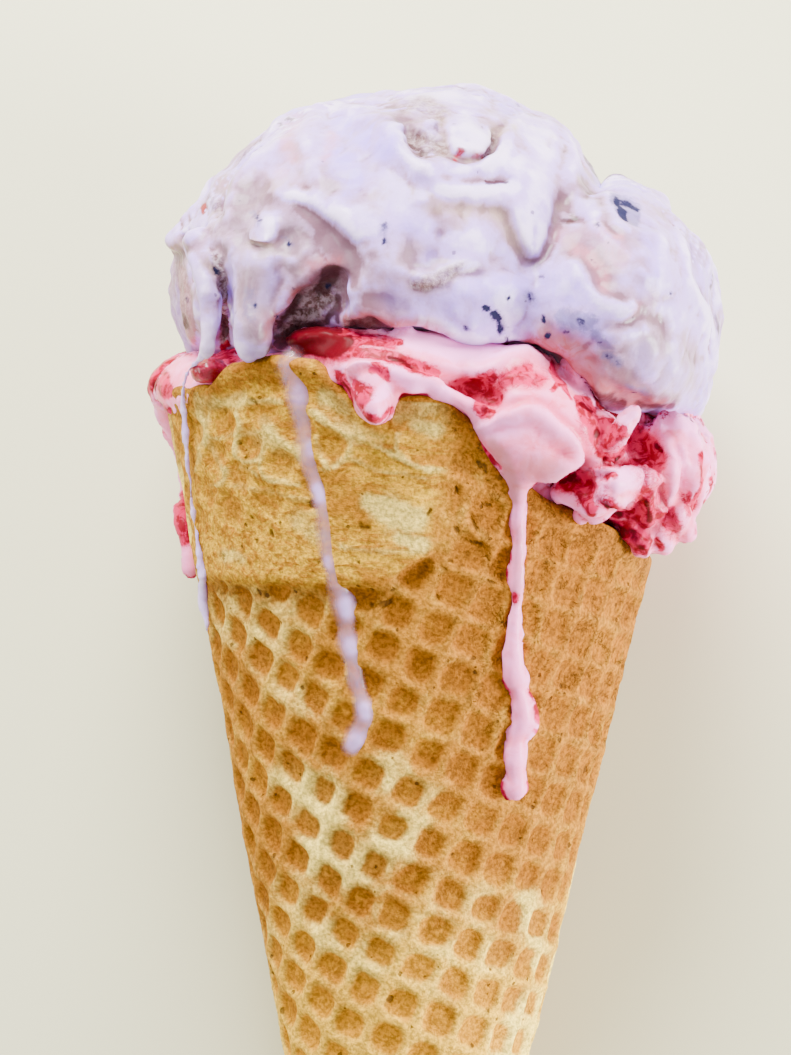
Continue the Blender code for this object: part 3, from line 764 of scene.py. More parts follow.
class Nodes:
    """Short ways to add nodes to a tree: feeds are values or the sockets that they come from."""

    def __init__(self, tree):
        self.tree, self.column = tree, 0

    def add(self, kind, feeds=None, **settings):
        made = self.tree.nodes.new(kind)
        made.location = (self.column * 170, -40 * (self.column % 7))
        self.column += 1
        for key, value in settings.items():
            setattr(made, key, value)
        for key, value in (feeds or {}).items():
            socket = made.inputs[key]
            if isinstance(value, bpy.types.NodeSocket):
                self.tree.links.new(value, socket)
            else:
                socket.default_value = (*value, 1.0) if socket.type == "RGBA" else value
        return made

    def math(self, operation, *values, clamp=False):
        return self.add("ShaderNodeMath", dict(enumerate(values)), operation=operation,
                        use_clamp=clamp).outputs[0]

    times, plus = partialmethod(math, "MULTIPLY"), partialmethod(math, "ADD")
    minus, larger = partialmethod(math, "SUBTRACT"), partialmethod(math, "MAXIMUM")

    def vector(self, operation, *values, scale=None):
        feeds = dict(enumerate(values))
        if scale is not None:
            feeds["Scale"] = scale
        return self.add("ShaderNodeVectorMath", feeds, operation=operation).outputs[0]

    def named(self, name, kind):
        made = self.add("GeometryNodeInputNamedAttribute", {"Name": name}, data_type=kind)
        return made.outputs["Attribute"]

    def mask(self, name):
        return self.add("ShaderNodeAttribute", attribute_name=name).outputs["Fac"]

    def mix(self, share, one, other, blend="MIX"):
        return self.add("ShaderNodeMix", {0: share, 6: one, 7: other}, data_type="RGBA",
                        blend_type=blend).outputs[2]

    def blend(self, share, one, other):
        return self.add("ShaderNodeMix", {0: share, 2: one, 3: other}).outputs[0]

    def stretch(self, value, low, high, to_low=0.0, to_high=1.0, kind="SMOOTHSTEP"):
        feeds = {"Value": value, "From Min": low, "From Max": high, "To Min": to_low, "To Max": to_high}
        return self.add("ShaderNodeMapRange", feeds, interpolation_type=kind).outputs[0]

    def lines(self, noise, width):
        """Thin lines where noise crosses its middle."""
        return self.stretch(self.math("ABSOLUTE", self.minus(noise, 0.5)), 0.0, width, 1.0, 0.0)

    def noise(self, place, size, detail=3.0, rough=0.55, warp=0.0):
        """Noise from 0 to 1 with lumps of this size in mm."""
        feeds = {"Vector": place, "Scale": 1.0 / size, "Detail": detail, "Roughness": rough,
                 "Distortion": warp}
        return self.add("ShaderNodeTexNoise", feeds).outputs[0]

    def place(self):
        """Object coordinates in mm."""
        return self.vector("SCALE", self.add("ShaderNodeTexCoord").outputs["Object"], scale=1000.0)

    def group(self, name, **feeds):
        """A shared shader group, which is built when it is first used."""
        tree = bpy.data.node_groups.get(name) or SHARED[name]()
        return self.add("ShaderNodeGroup", feeds, node_tree=tree).outputs

    def torn(self, place, mask, size, tear, blur):
        return self.group("ragged edge", Place=place, Mask=mask, Size=size, Tear=tear, Blur=blur)[0]

    def specks(self, place, spacing, size, share):
        return self.group("specks", Place=place, Spacing=spacing, Size=size, Share=share)[0]

    def crumbs(self, place, size):
        return self.group("crumb", Place=place, Size=size)


def shader_group(name, outputs, **values):
    """An empty shader group with a way to add nodes, and its inputs: a place, and numbers with defaults."""
    tree = bpy.data.node_groups.new(name, "ShaderNodeTree")
    group_input(tree, "Place", "NodeSocketVector")
    for label, value in values.items():
        group_input(tree, label, "NodeSocketFloat").default_value = value
    for label in outputs:
        tree.interface.new_socket(label, in_out="OUTPUT", socket_type="NodeSocketFloat")
    n = Nodes(tree)
    return tree, n, n.add("NodeGroupInput").outputs


def ragged_edge_group():
    """Turns a soft painted mask into one with a torn, feathery edge."""
    tree, n, given = shader_group("ragged edge", ("Mask",), Mask=0.0, Size=1.5, Tear=0.5, Blur=0.1)
    feeds = {"Vector": given["Place"], "Scale": n.math("DIVIDE", 1.0, given["Size"]), "Detail": 4.0,
             "Roughness": 0.65, "Distortion": 0.6}
    torn = n.add("ShaderNodeTexNoise", feeds).outputs[0]
    moved = n.plus(given["Mask"], n.times(n.minus(torn, 0.5), given["Tear"]))
    n.add("NodeGroupOutput", {0: n.stretch(moved, n.minus(0.5, given["Blur"]), n.plus(0.5, given["Blur"]))})
    return tree


def speck_group():
    """Small specks scattered through the stuff: a mask of those that reach the surface."""
    tree, n, given = shader_group("specks", ("Mask",), Spacing=3.0, Size=0.2, Share=0.3)
    scale = n.math("DIVIDE", 1.0, given["Spacing"])
    bend = n.add("ShaderNodeTexNoise", {"Vector": given["Place"], "Scale": 2.2, "Detail": 2.0})
    bent = n.vector("ADD", given["Place"], n.vector("SCALE", bend.outputs["Color"], scale=0.5))
    cells = n.add("ShaderNodeTexVoronoi", {"Vector": bent, "Scale": scale})
    pick = n.add("ShaderNodeSeparateColor", {0: cells.outputs["Color"]}).outputs
    reach = n.times(cells.outputs["Distance"], given["Spacing"])
    size = n.times(given["Size"], n.plus(0.4, n.times(pick[1], 1.2)))
    near = n.stretch(reach, n.times(size, 0.6), size, 1.0, 0.0)
    n.add("NodeGroupOutput", {0: n.times(near, n.math("LESS_THAN", pick[0], given["Share"]))})
    return tree


def crumb_group():
    """The height and the light and dark of a crumbly surface, from fine grains to small lumps."""
    tree, n, given = shader_group("crumb", ("Height", "Shade"), Size=0.6)
    scale = n.math("DIVIDE", 1.0, given["Size"])
    feeds = {"Vector": given["Place"], "Scale": scale, "Detail": 5.0, "Roughness": 0.62}
    fine = n.add("ShaderNodeTexNoise", feeds).outputs[0]
    lumps = n.add("ShaderNodeTexVoronoi", {"Vector": given["Place"], "Scale": n.times(scale, 0.6)},
                  feature="SMOOTH_F1").outputs["Distance"]
    height = n.plus(fine, n.times(lumps, -0.5))
    n.add("NodeGroupOutput", {0: height, 1: n.stretch(fine, 0.3, 0.7, kind="LINEAR")})
    return tree


SHARED = {"ragged edge": ragged_edge_group, "specks": speck_group, "crumb": crumb_group}


def new_material(name, **values):
    """A material with its shader, whose plain values are set on the shader's own sockets."""
    material = bpy.data.materials.new(name)
    material.use_nodes = True
    n = Nodes(material.node_tree)
    shader = material.node_tree.nodes["Principled BSDF"]
    for key, value in values.items():
        shader.inputs[key.replace("_", " ")].default_value = value
    return material, n, shader


def feed(n, shader, colour, roughness, height, strength, distance):
    """Links a shader's colour and roughness, and fine bumps from a height; the distance is in mm."""
    bump = n.add("ShaderNodeBump", {"Height": height, "Strength": strength, "Distance": distance * MM})
    for name, socket in (("Base Color", colour), ("Roughness", roughness), ("Normal", bump.outputs[0])):
        n.tree.links.new(socket, shader.inputs[name])


def waffle_material(look):
    material, n, shader = new_material("baked waffle", Specular_IOR_Level=0.04)
    place = n.place()
    pocket, yellow, toast = n.mask("pocket"), n.mask("yellow"), n.mask("toast")
    pale, brown_and_crease_shade, low = n.mask("pale"), n.mask("brown_and_crease_shade"), n.mask("low")
    broad, mid = n.noise(place, 9.0, 3.0, 0.6, 0.4), n.noise(place, 2.4, 4.0, 0.6)
    fine = n.crumbs(place, 0.55)
    streak = n.noise(n.vector("MULTIPLY", place, (0.22, 1.0, 1.0)), 1.3, 5.0, 0.68, 0.6)
    crack = n.lines(n.noise(place, 2.6, 5.0, 0.72, 0.9), 0.022)
    crack = n.times(crack, n.times(n.plus(n.times(toast, 0.8), 0.15), n.stretch(mid, 0.42, 0.62)))
    # Ribs and pockets are lighter towards the tip.
    light = n.plus(n.times(broad, 0.6), n.plus(n.times(mid, 0.4), n.times(low, 0.3)))
    rib = n.mix(n.stretch(light, 0.46, 0.76), look.rib_brown, look.rib)
    whiter = n.torn(place, pale, 4.2, 1.3, 0.48)
    rib = n.mix(whiter, rib, look.rib_white)
    well = n.mix(n.stretch(light, 0.42, 0.82), look.pocket_brown, look.pocket)
    creep = n.plus(n.times(n.minus(mid, 0.5), 0.7), n.times(whiter, -0.3))
    baked_in = n.stretch(n.plus(pocket, creep), 0.05, 0.75)
    skin_colour = n.mix(n.times(baked_in, 0.95), rib, well)
    tan_colour = n.mix(n.stretch(mid, 0.3, 0.7), look.toast, look.toast_dark)
    skin_colour = n.mix(n.times(toast, 0.55), skin_colour, tan_colour)
    smear = n.mix(n.stretch(streak, 0.40, 0.62), look.smear, look.smear_brown)
    smear = n.mix(n.stretch(broad, 0.5, 0.7), smear, look.smear_brown)
    milky = n.torn(place, n.mask("milky"), 3.0, 1.1, 0.42)
    smear = n.mix(milky, smear, look.smear_pale)
    smear = n.mix(n.times(n.stretch(pocket, 0.08, 0.45), 0.6), smear, look.smear_brown)
    skin_colour = n.mix(n.stretch(yellow, 0.2, 0.8), skin_colour, smear)
    # The rim's real browning, and painted shade in a strip below the cuff's crease.
    skin_colour = n.mix(n.times(brown_and_crease_shade, n.stretch(mid, 0.2, 0.6)), skin_colour, look.browned_and_crease_shade)
    shade = n.stretch(fine["Shade"], 0.25, 0.75, 0.66, 1.28, "LINEAR")
    grey_shade = n.add("ShaderNodeCombineColor", {0: shade, 1: shade, 2: shade}).outputs[0]
    skin_colour = n.mix(1.0, skin_colour, grey_shade, "MULTIPLY")
    pores = n.larger(n.specks(place, 1.7, 0.26, 0.3),
                   n.specks(place, 6.5, 0.5, 0.4))
    pits = n.torn(place, n.mask("pits"), 0.5, 1.1, 0.3)
    pores = n.larger(pores, n.larger(pits, crack))
    skin_colour = n.mix(n.times(pores, 0.75), skin_colour, look.pore)
    height = n.plus(fine["Height"], n.times(mid, 1.2))
    height = n.plus(height, n.times(n.times(streak, yellow), 1.6))
    height = n.minus(height, n.times(pores, 1.2))
    rough = n.stretch(fine["Shade"], 0.0, 1.0, 0.62, 0.85, "LINEAR")
    feed(n, shader, skin_colour, rough, height, 0.75, 0.42)
    return material


def cream_colours(n, place, look):
    """The upper scoop's colour: lilac and whitish melt, with rosy, violet, mauve and tan places, and painted
    shade and light.
    """
    mottle = n.plus(n.times(n.noise(place, 1.7, 4.0, 0.65, 0.8), 0.34),
                    n.times(n.noise(place, 0.5, 2.0), 0.14))
    # The tone sets how light the melt is, from mauve through lilac to whitish melt; it holds painted shade
    # and painted light as well as random clouds.
    light = n.plus(n.mask("tone"), n.minus(mottle, 0.24))
    colour = n.mix(n.stretch(light, 0.0, 0.38), look.mauve_shade, look.mauve_pale)
    colour = n.mix(n.stretch(light, 0.30, 0.66), colour, look.lilac)
    colour = n.mix(n.stretch(light, 0.62, 1.05), colour, look.white_and_light)
    wisp = n.stretch(n.noise(n.vector("MULTIPLY", place, (1.0, 0.6, 1.0)), 3.8, 4.0, 0.62, 1.6), 0.42, 0.62)
    # Violet is the melt's own tint; the rosy places are partly painted shade, and the greyish, warm tan and
    # dark reddish places are painted shade.
    for name, share in (("violet", 0.8), ("rose_and_shade", 0.85), ("grey_shade", 0.55), ("beige_shade", 0.75), ("flush", 0.85)):
        spread = n.times(n.mask(name), n.stretch(wisp, 0.0, 1.0, 0.6, 1.2, "LINEAR"))
        colour = n.mix(n.times(spread, share, clamp=True), colour, getattr(look, name))
    return colour


def huckleberry_material(look):
    material, n, shader = new_material(
        "huckleberry ice cream", Subsurface_Weight=0.25, Subsurface_Scale=0.0022,
        Subsurface_Radius=(1.0, 0.7, 0.8), Coat_Roughness=0.2, Specular_IOR_Level=0.16)
    place = n.place()
    colour = cream_colours(n, place, look)
    crumb = n.mask("crumb")
    grit = n.crumbs(place, 0.8)
    torn = n.mix(n.stretch(grit["Shade"], 0.2, 0.8), look.crumb_dark, look.crumb)
    colour = n.mix(n.times(crumb, 0.9), colour, torn)
    bruise = n.torn(place, n.mask("bruise"), 0.7, 1.2, 0.4)
    colour = n.mix(n.times(bruise, 0.7), colour, look.bruise)
    # Painted shade, nearly black, in the gaps, slits, pits and cavity, with a few fruit marks.
    stain_and_shade = n.torn(place, n.mask("stain_and_shade"), 1.2, 0.8, 0.34)
    colour = n.mix(n.times(stain_and_shade, 0.85), colour, look.stain_and_shade)
    red = n.torn(place, n.mask("red"), 0.9, 0.5, 0.3)
    colour = n.mix(red, colour, look.jam)
    specks = n.specks(place, 3.4, 0.24, 0.28)
    colour = n.mix(n.times(specks, 0.6), colour, look.speck)
    berry = n.torn(place, n.mask("berry"), 0.6, 1.3, 0.38)
    colour = n.mix(berry, colour, look.berry_skin)
    soft = n.plus(n.noise(place, 2.6, 3.0, 0.5), n.times(n.noise(place, 0.5, 2.0), 0.06))
    height = n.plus(n.times(soft, 0.6), n.times(grit["Height"], n.stretch(crumb, 0, 1, 0.03, 1.5)))
    rough = n.blend(berry, n.stretch(crumb, 0.0, 1.0, 0.30, 0.7, "LINEAR"), 0.75)
    n.tree.links.new(n.stretch(berry, 0.0, 1.0, 0.1, 0.0), shader.inputs["Coat Weight"])
    feed(n, shader, colour, rough, height, 0.8, 0.5)
    return material


def ripple_material(look):
    material, n, shader = new_material(
        "raspberry ripple ice cream", Subsurface_Weight=0.12, Subsurface_Scale=0.0015,
        Subsurface_Radius=(1.0, 0.5, 0.5), Coat_Roughness=0.15, Specular_IOR_Level=0.06)
    place = n.place()
    cloud = n.noise(place, 4.0, 4.0, 0.62, 0.9)
    colour = n.mix(n.stretch(cloud, 0.38, 0.62), look.pink, look.pink_pale)
    threads = n.noise(n.vector("MULTIPLY", place, (0.8, 1.6, 0.8)), 3.2, 5.0, 0.65, 1.8)
    colour = n.mix(n.stretch(threads, 0.56, 0.72, 0.0, 0.55), colour, look.blush_and_shade)
    milk_and_light = n.torn(place, n.mask("milk_and_light"), 2.5, 0.8, 0.35)
    # Painted light: the crests are made milkier.
    colour = n.mix(n.larger(milk_and_light, n.times(n.mask("crest"), 0.5)), colour, look.milk_and_light)
    # Painted shade: hollows and places under lips turn a darker red pink.
    shade = n.times(n.larger(n.mask("under"), n.mask("hollow")), 0.55)
    colour = n.mix(shade, colour, look.blush_and_shade)
    # Painted shade where the drip turns under and down its thread.
    colour = n.mix(n.times(n.mask("shade"), 0.7, clamp=True), colour, look.pink_shade)
    painted = n.times(n.mask("jam"), 1.35)
    halo = n.stretch(n.plus(painted, n.times(n.minus(cloud, 0.5), 0.5)), 0.02, 0.75)
    colour = n.mix(n.times(halo, 0.85), colour, look.blush_and_shade)
    lines = n.noise(n.vector("MULTIPLY", place, (1.0, 1.8, 1.0)), 2.4, 4.0, 0.62, 1.3)
    veins = n.lines(lines, 0.03)
    colour = n.mix(n.times(veins, n.stretch(painted, 0.03, 0.4)), colour, look.jam_bright)
    jam = n.torn(place, painted, 1.0, 1.1, 0.32)
    thick = n.stretch(n.noise(place, 1.5, 3.0, 0.6, 0.8), 0.42, 0.58)
    colour = n.mix(jam, colour, n.mix(thick, look.jam_bright, look.jam))
    # Thick dark jam, and painted shade, nearly black, in the gaps between lumps.
    deep_jam_and_shade = n.torn(place, n.mask("deep_jam_and_shade"), 0.9, 0.8, 0.25)
    colour = n.mix(deep_jam_and_shade, colour, look.jam_deep_and_shade)
    crumb = n.mask("crumb")
    grit = n.crumbs(place, 0.7)
    colour = n.mix(n.times(crumb, n.stretch(grit["Shade"], 0.3, 0.6)), colour, look.milk_and_light)
    soft = n.noise(place, 2.4, 3.0, 0.5)
    height = n.plus(n.times(soft, 0.35), n.times(grit["Height"], n.stretch(crumb, 0, 1, 0.03, 1.2)))
    height = n.plus(height, n.times(jam, -0.12))
    rough = n.stretch(crumb, 0.0, 1.0, 0.34, 0.6, "LINEAR")
    n.tree.links.new(n.stretch(jam, 0.0, 1.0, 0.12, 0.0), shader.inputs["Coat Weight"])
    feed(n, shader, colour, rough, height, 0.8, 0.5)
    return material


# The room in the cone's frame that each field takes up: its low and its high corner, in mm
HUCKLEBERRY_ROOM = ((-41, 132, -43), (48, 211, 43))
RIPPLE_ROOM = ((-41, 111, -42), (46, 181, 42))
RUN_ROOM = ((-22, 114, 20), (-2, 172, 40))
BERRY_ROOM = ((-33, 165, 17), (-25, 173, 26))
BERRY = Lump((-28.9, 168.6, 21.2), (2.5, 1.7, 2.3), 6.0)

RIPPLE_LUMPS = (
    Lump((-1.0, 165.5, -0.6), (35.4, 10.5, 36.4)),
    Lump((26.5, 157.6, 6.0), (12.4, 8.6, 20.0), 12.0),
    Lump((24.0, 157.5, -12.0), (13.0, 9.5, 22.0)),
    Lump((-31.2, 166.8, 0.0), (5.3, 4.6, 12.0)),
    Lump((13.0, 165.2, 27.0), (12.0, 5.6, 10.0), -30.0),
    Lump((-4.0, 170.8, 27.0), (15.0, 3.6, 9.0), -8.0),
    Lump((-5.0, 167.2, 32.0), (8.6, 3.4, 5.2), -6.0),
    Lump((-6.6, 164.2, 35.4), (2.6, 3.0, 2.4)),
    Lump((30.6, 151.4, 12.0), (4.4, 4.6, 6.6)),
    Lump((28.6, 149.0, 14.6), (2.4, 2.4, 2.4)),
    Lump((20.0, 154.6, 27.8), (4.8, 2.4, 3.0), -20.0),
    Lump((13.0, 160.8, 33.4), (6.6, 5.2, 3.6), -24.0),
)
HUCKLEBERRY_LUMPS = (
    Lump((-27.4, 177.6, 2.0), (6.5, 8.4, 13.0)),
    Lump((-4.3, 183.6, -2.0), (30.4, 25.0, 38.6), 4.0),
    Lump((6.0, 186.6, -2.0), (17.6, 21.2, 34.0)),
    Lump((22.0, 177.0, -0.6), (17.8, 20.2, 37.0), 6.0),
    Lump((24.8, 181.2, 6.0), (13.2, 15.0, 26.0), 16.0),
    Lump((0.0, 179.6, 4.0), (25.0, 9.0, 33.6), -9.0),
    Lump((-25.6, 182.0, 19.5), (4.6, 8.5, 8.0), 4.0),
    Lump((-20.0, 180.0, 20.4), (5.8, 11.0, 10.8), -6.0),
)
# How low each scoop's lower edge hangs: turn in degrees and height
RIPPLE_EDGE = (
    (-180, 151.0), (-140, 157.5), (-110, 162.0), (-90, 164.0), (-71, 162.8), (-63, 161.8), (-57, 166.6),
    (-18, 166.6), (-16, 164.6), (-13, 163.0), (-10, 162.0), (-8, 162.9), (-6.5, 164.6), (0, 165.2),
    (5, 164.7), (8.3, 163.4), (12.7, 158.6), (16.2, 155.8), (18.5, 154.0), (22, 153.0), (27, 153.6),
    (30.7, 152.2), (37.8, 150.4), (46, 151.0), (50.6, 149.6), (55.8, 147.0), (60, 145.2), (66, 144.3),
    (72, 145.6), (77, 146.6), (84, 146.4), (90, 147.6), (120, 146.8), (150, 147.0), (180, 151.0),
)
HUCKLEBERRY_EDGE = (
    (-180, 168.0), (-140, 169.5), (-100, 168.5), (-75, 170.5), (-63.6, 171.9), (-49.7, 170.3),
    (-37.4, 170.7), (-33.5, 171.2), (-32.7, 172.8), (-22, 174.2), (-11, 174.7), (-2, 173.9), (3.7, 172.4),
    (9.6, 172.3), (15, 173.2), (19.6, 173.4), (22.8, 174.0), (26.1, 173.7), (29.6, 172.0), (33.3, 169.2),
    (34.8, 167.2), (38.0, 165.8), (44.6, 165.0), (67.1, 164.4), (100, 164.0), (140, 165.5), (180, 168.0),
)


# Folds of melt on the upper scoop, and folds that are cut out of it
HUCKLEBERRY_FOLDS = {
    "crater's front left rim": Fold(((348, 103, 1.8, -1.1), (378, 118, 2.6, -1.5), (400, 138, 2.8, -1.6),
                                     (424, 162, 2.4, -1.3), (450, 177, 1.8, -1.0)), 2.5),
    "left shoulder": Fold(((268, 145, 2.6, -1.8), (246, 180, 2.8, -1.9), (236, 215, 2.4, -1.5),
                           (240, 248, 2.0, -1.3)), 2.2),
    "curtain": Fold(((376, 276, 2.0, -1.7), (362, 290, 1.9, -1.2), (354, 308, 1.6, -0.8),
                     (353, 328, 1.4, -0.6)), 1.4),
    "knob": Fold(((260, 229, 1.2, -0.2), (270, 229, 1.5, -0.2)), 0.9),
    "tongue": Fold(((528, 186, 3.4, -2.7), (531, 210, 2.7, -1.9), (533, 232, 1.8, -1.1),
                    (534, 246, 1.2, -0.7)), 2.0),
    "apron": Fold(((452, 334, 1.1, -0.3), (478, 340, 1.4, -0.2), (504, 339, 1.2, -0.3)), 1.2),
    "crater's lobe": Fold(((466, 122, 1.8, -1.2), (468, 138, 2.3, -1.2), (466, 150, 1.6, -0.9)), 0.9),
}
HUCKLEBERRY_GROOVES = {
    "crater, left": Fold(((404, 118, 1.9, 0.9), (416, 134, 3.0, 1.0), (434, 150, 2.2, 0.9)), 1.0),
    "crater, right": Fold(((488, 126, 1.4, 0.7), (492, 140, 1.8, 0.6), (484, 156, 1.4, 0.4)), 0.6),
    "slot": Fold(((486, 183, 0.45, 0.0), (495, 184, 0.7, 0.1), (505, 182, 0.5, 0.0)), 0.3),
    "small pit": Fold(((566, 219, 0.5, 0.0), (573, 218, 0.8, 0.2), (579, 217, 0.5, 0.1)), 0.4),
    "tiny pit": Fold(((548, 141, 0.4, 0.1), (550, 146, 0.5, 0.1)), 0.3),
    "hole in the left face": Fold(((205, 200, 0.6, 0.1), (205, 214, 0.7, 0.1)), 0.3),
    "crumbly hole beside it": Fold(((216, 203, 1.1, 0.4), (218, 214, 1.1, 0.4)), 0.5),
    "hollow": Fold(((334, 287, 2.3, 0.5), (324, 300, 3.4, 0.0), (304, 320, 3.4, -0.3),
                    (286, 342, 3.1, -0.6)), 0.7),
    "gap between the columns": Fold(((225, 270, 0.6, 0.4), (226, 290, 1.0, 0.2), (225, 315, 1.5, -0.3),
                                     (223, 343, 1.5, -0.3)), 0.5),
    "slit over the pink": Fold(((404, 322, 0.3, 0.0), (424, 324, 0.5, 0.0), (440, 329, 0.6, 0.0),
                                (449, 336, 0.5, 0.0)), 0.3),
}
# Crumbs in its hollows: stations like a fold's
HOLLOW_CRUMBS = (
    ((298, 304, 0.8, -0.2), (308, 302, 1.1, 0.0), (318, 305, 0.8, -0.1)),
    ((288, 319, 0.7, 0.0), (298, 316, 0.9, 0.1)), ((310, 316, 0.7, 0.1), (318, 321, 0.8, 0.0)),
    ((324, 311, 0.6, 0.0), (332, 306, 0.7, 0.0)), ((302, 328, 0.6, 0.0), (310, 330, 0.6, 0.0)),
    ((218, 262, 0.5, 0.0), (224, 268, 0.6, 0.0)), ((222, 290, 0.5, 0.1), (226, 297, 0.6, 0.1)),
    ((212, 204, 0.6, -0.1), (217, 198, 0.7, 0.0)), ((418, 150, 0.7, 0.0), (428, 154, 0.8, 0.0)),
    ((424, 128, 0.6, 0.0), (432, 124, 0.7, 0.0)),
)
RIGHT_VALLEY = Lump((21.6, 200.0, 8.0), (1.5, 6.0, 30.0), 8.0)
HUCKLEBERRY_LIPS = (
    (300, 204, 10, 0.2, 315, 211, 14, 0.6, 329, 221, 18, 0.9, 343, 233, 24, 1.0, 355, 246, 22, 0.9,
     365, 262, 18, 0.6, 372, 280, 14, 0.1),
    (278, 197, 8, 0.2, 295, 203, 9, 0.7, 312, 208, 9, 0.6, 322, 216, 9, 0.3),
    (252, 230, 6, 0.2, 256, 241, 9, 0.8, 266, 246, 10, 1.1, 276, 240, 9, 0.7, 281, 231, 6, 0.1),
    (428, 204, 8, 0.2, 445, 202, 12, 0.4, 470, 203, 14, 0.55, 496, 206, 14, 0.7, 509, 214, 14, 0.9,
     515, 230, 13, 1.0, 521, 246, 11, 1.1, 530, 256, 10, 1.0, 539, 253, 9, 0.8, 544, 240, 9, 0.6,
     550, 224, 9, 0.5, 558, 204, 9, 0.3, 562, 190, 8, 0.1),
    (456, 184, 10, 0.2, 440, 177, 12, 0.5, 428, 168, 13, 0.8, 416, 158, 14, 1.0, 405, 145, 14, 1.1,
     402, 132, 13, 0.9, 396, 122, 12, 0.6, 385, 114, 10, 0.2),
    (446, 126, 9, 0.3, 449, 145, 10, 0.9, 457, 157, 10, 1.2, 468, 161, 10, 1.2, 479, 157, 10, 1.2,
     487, 143, 10, 1.0, 492, 130, 9, 0.5, 500, 126, 8, 0.2),
    (514, 118, 8, 0.3, 504, 132, 9, 0.8, 499, 150, 9, 1.0, 492, 161, 9, 0.9, 480, 166, 9, 0.7,
     466, 167, 9, 0.3),
    (402, 132, 6, 0.5, 412, 134, 7, 0.9, 422, 135, 6, 0.7, 430, 140, 5, 0.2),
    (406, 276, 8, 0.3, 418, 282, 10, 0.9, 430, 283, 10, 1.0, 445, 278, 9, 0.7, 460, 271, 9, 0.6,
     480, 268, 8, 0.2),
    (394, 325, 9, 0.7, 412, 322, 10, 0.8, 430, 326, 10, 1.0, 446, 331, 9, 1.1, 453, 339, 8, 0.4),
    (505, 343, 10, 0.5, 520, 340, 10, 1.2, 536, 338, 10, 1.4, 550, 343, 10, 1.4, 562, 352, 10, 1.3,
     575, 366, 10, 1.2, 588, 384, 10, 1.0, 600, 402, 9, 0.8, 608, 412, 8, 0.3),
    (645, 306, 8, 0.2, 625, 302, 10, 0.5, 606, 296, 12, 0.7, 595, 284, 13, 0.8, 588, 270, 13, 0.7,
     578, 260, 10, 0.5, 566, 256, 8, 0.2),
    (600, 322, 7, 0.2, 614, 322, 7, 0.6, 628, 317, 7, 0.8, 636, 308, 7, 0.7, 632, 298, 6, 0.3),
    (716, 400, 6, 0.4, 717, 370, 6, 0.8, 714, 335, 6, 0.9, 706, 308, 6, 0.9, 694, 286, 6, 0.8,
     688, 262, 6, 0.7, 686, 238, 6, 0.6, 674, 212, 6, 0.4),
    (352, 318, 8, 0.4, 362, 312, 9, 0.8, 378, 312, 9, 0.8, 392, 318, 8, 0.4),
    (276, 330, 6, 0.3, 283, 312, 7, 0.8, 294, 296, 8, 1.0, 304, 284, 8, 0.5),
    (262, 132, 7, 0.3, 250, 146, 9, 0.8, 240, 165, 9, 0.8, 232, 190, 8, 0.6, 224, 214, 7, 0.3),
    (168, 244, 7, 0.6, 178, 250, 8, 1.0, 190, 242, 8, 0.9, 202, 234, 7, 0.3),
    (215, 246, 6, 0.2, 225, 244, 7, 0.6, 232, 250, 7, 0.7, 229, 262, 6, 0.4),
    (206, 256, 5, 0.4, 214, 262, 5, 0.7, 222, 258, 5, 0.4),
    (268, 268, 7, 0.2, 282, 262, 8, 0.6, 296, 264, 8, 0.5, 306, 258, 7, 0.2),
    (556, 118, 8, 0.2, 566, 150, 9, 0.6, 564, 180, 9, 0.6, 572, 200, 8, 0.3),
    (604, 196, 6, 0.3, 612, 222, 7, 0.6, 628, 236, 7, 0.5, 640, 240, 7, 0.2),
)
# Low swells and valleys: strokes whose strength is a height in mm
HUCKLEBERRY_RELIEF = (
    (0.8, 262, 250, 18, 256, 280, 16, 250, 320, 13), (-0.7, 286, 236, 8, 292, 250, 8),
    (0.7, 318, 112, 8, 308, 150, 9, 322, 190, 9), (-0.6, 348, 134, 16, 362, 165, 18),
    (0.6, 372, 205, 15, 388, 235, 17, 396, 262, 13), (-0.9, 312, 236, 14, 332, 254, 18, 346, 276, 14),
    (0.5, 428, 166, 7, 470, 172, 8, 512, 168, 9), (-0.25, 440, 181, 6, 505, 180, 6),
    (0.35, 438, 190, 8, 470, 192, 9, 512, 191, 10), (-0.5, 560, 200, 7, 553, 230, 8, 546, 252, 8),
    (0.5, 548, 120, 10, 564, 150, 11, 570, 180, 10), (0.8, 470, 240, 20, 462, 250, 18),
    (0.7, 498, 284, 15, 560, 284, 15), (-0.6, 574, 250, 12, 592, 262, 13, 604, 278, 12),
    (0.8, 598, 222, 9, 626, 248, 11, 645, 274, 11), (0.5, 612, 335, 8, 640, 332, 9),
    (-0.6, 646, 312, 9, 664, 322, 8), (-0.6, 690, 332, 8, 698, 360, 8), (0.5, 672, 345, 6, 675, 372, 6),
    (0.6, 660, 240, 8, 662, 285, 9), (0.4, 612, 307, 8, 622, 307, 7),
    (0.7, 370, 318, 9, 420, 312, 9, 470, 320, 11), (0.8, 474, 334, 12, 494, 338, 11),
    (-0.5, 410, 240, 10, 408, 262, 10), (0.6, 186, 210, 10, 182, 232, 9), (0.6, 196, 262, 7, 206, 290, 8),
    (0.5, 205, 183, 8, 230, 178, 8), (0.5, 520, 98, 8, 548, 112, 9),
    (0.6, 400, 96, 8, 440, 92, 8, 480, 98, 8), (0.5, 340, 205, 10, 350, 225, 9),
    (0.5, 300, 250, 10, 288, 275, 9), (-0.4, 440, 235, 8, 432, 255, 8), (0.4, 590, 320, 10, 620, 345, 12),
    (-0.8, 612, 398, 9, 640, 404, 10),
)
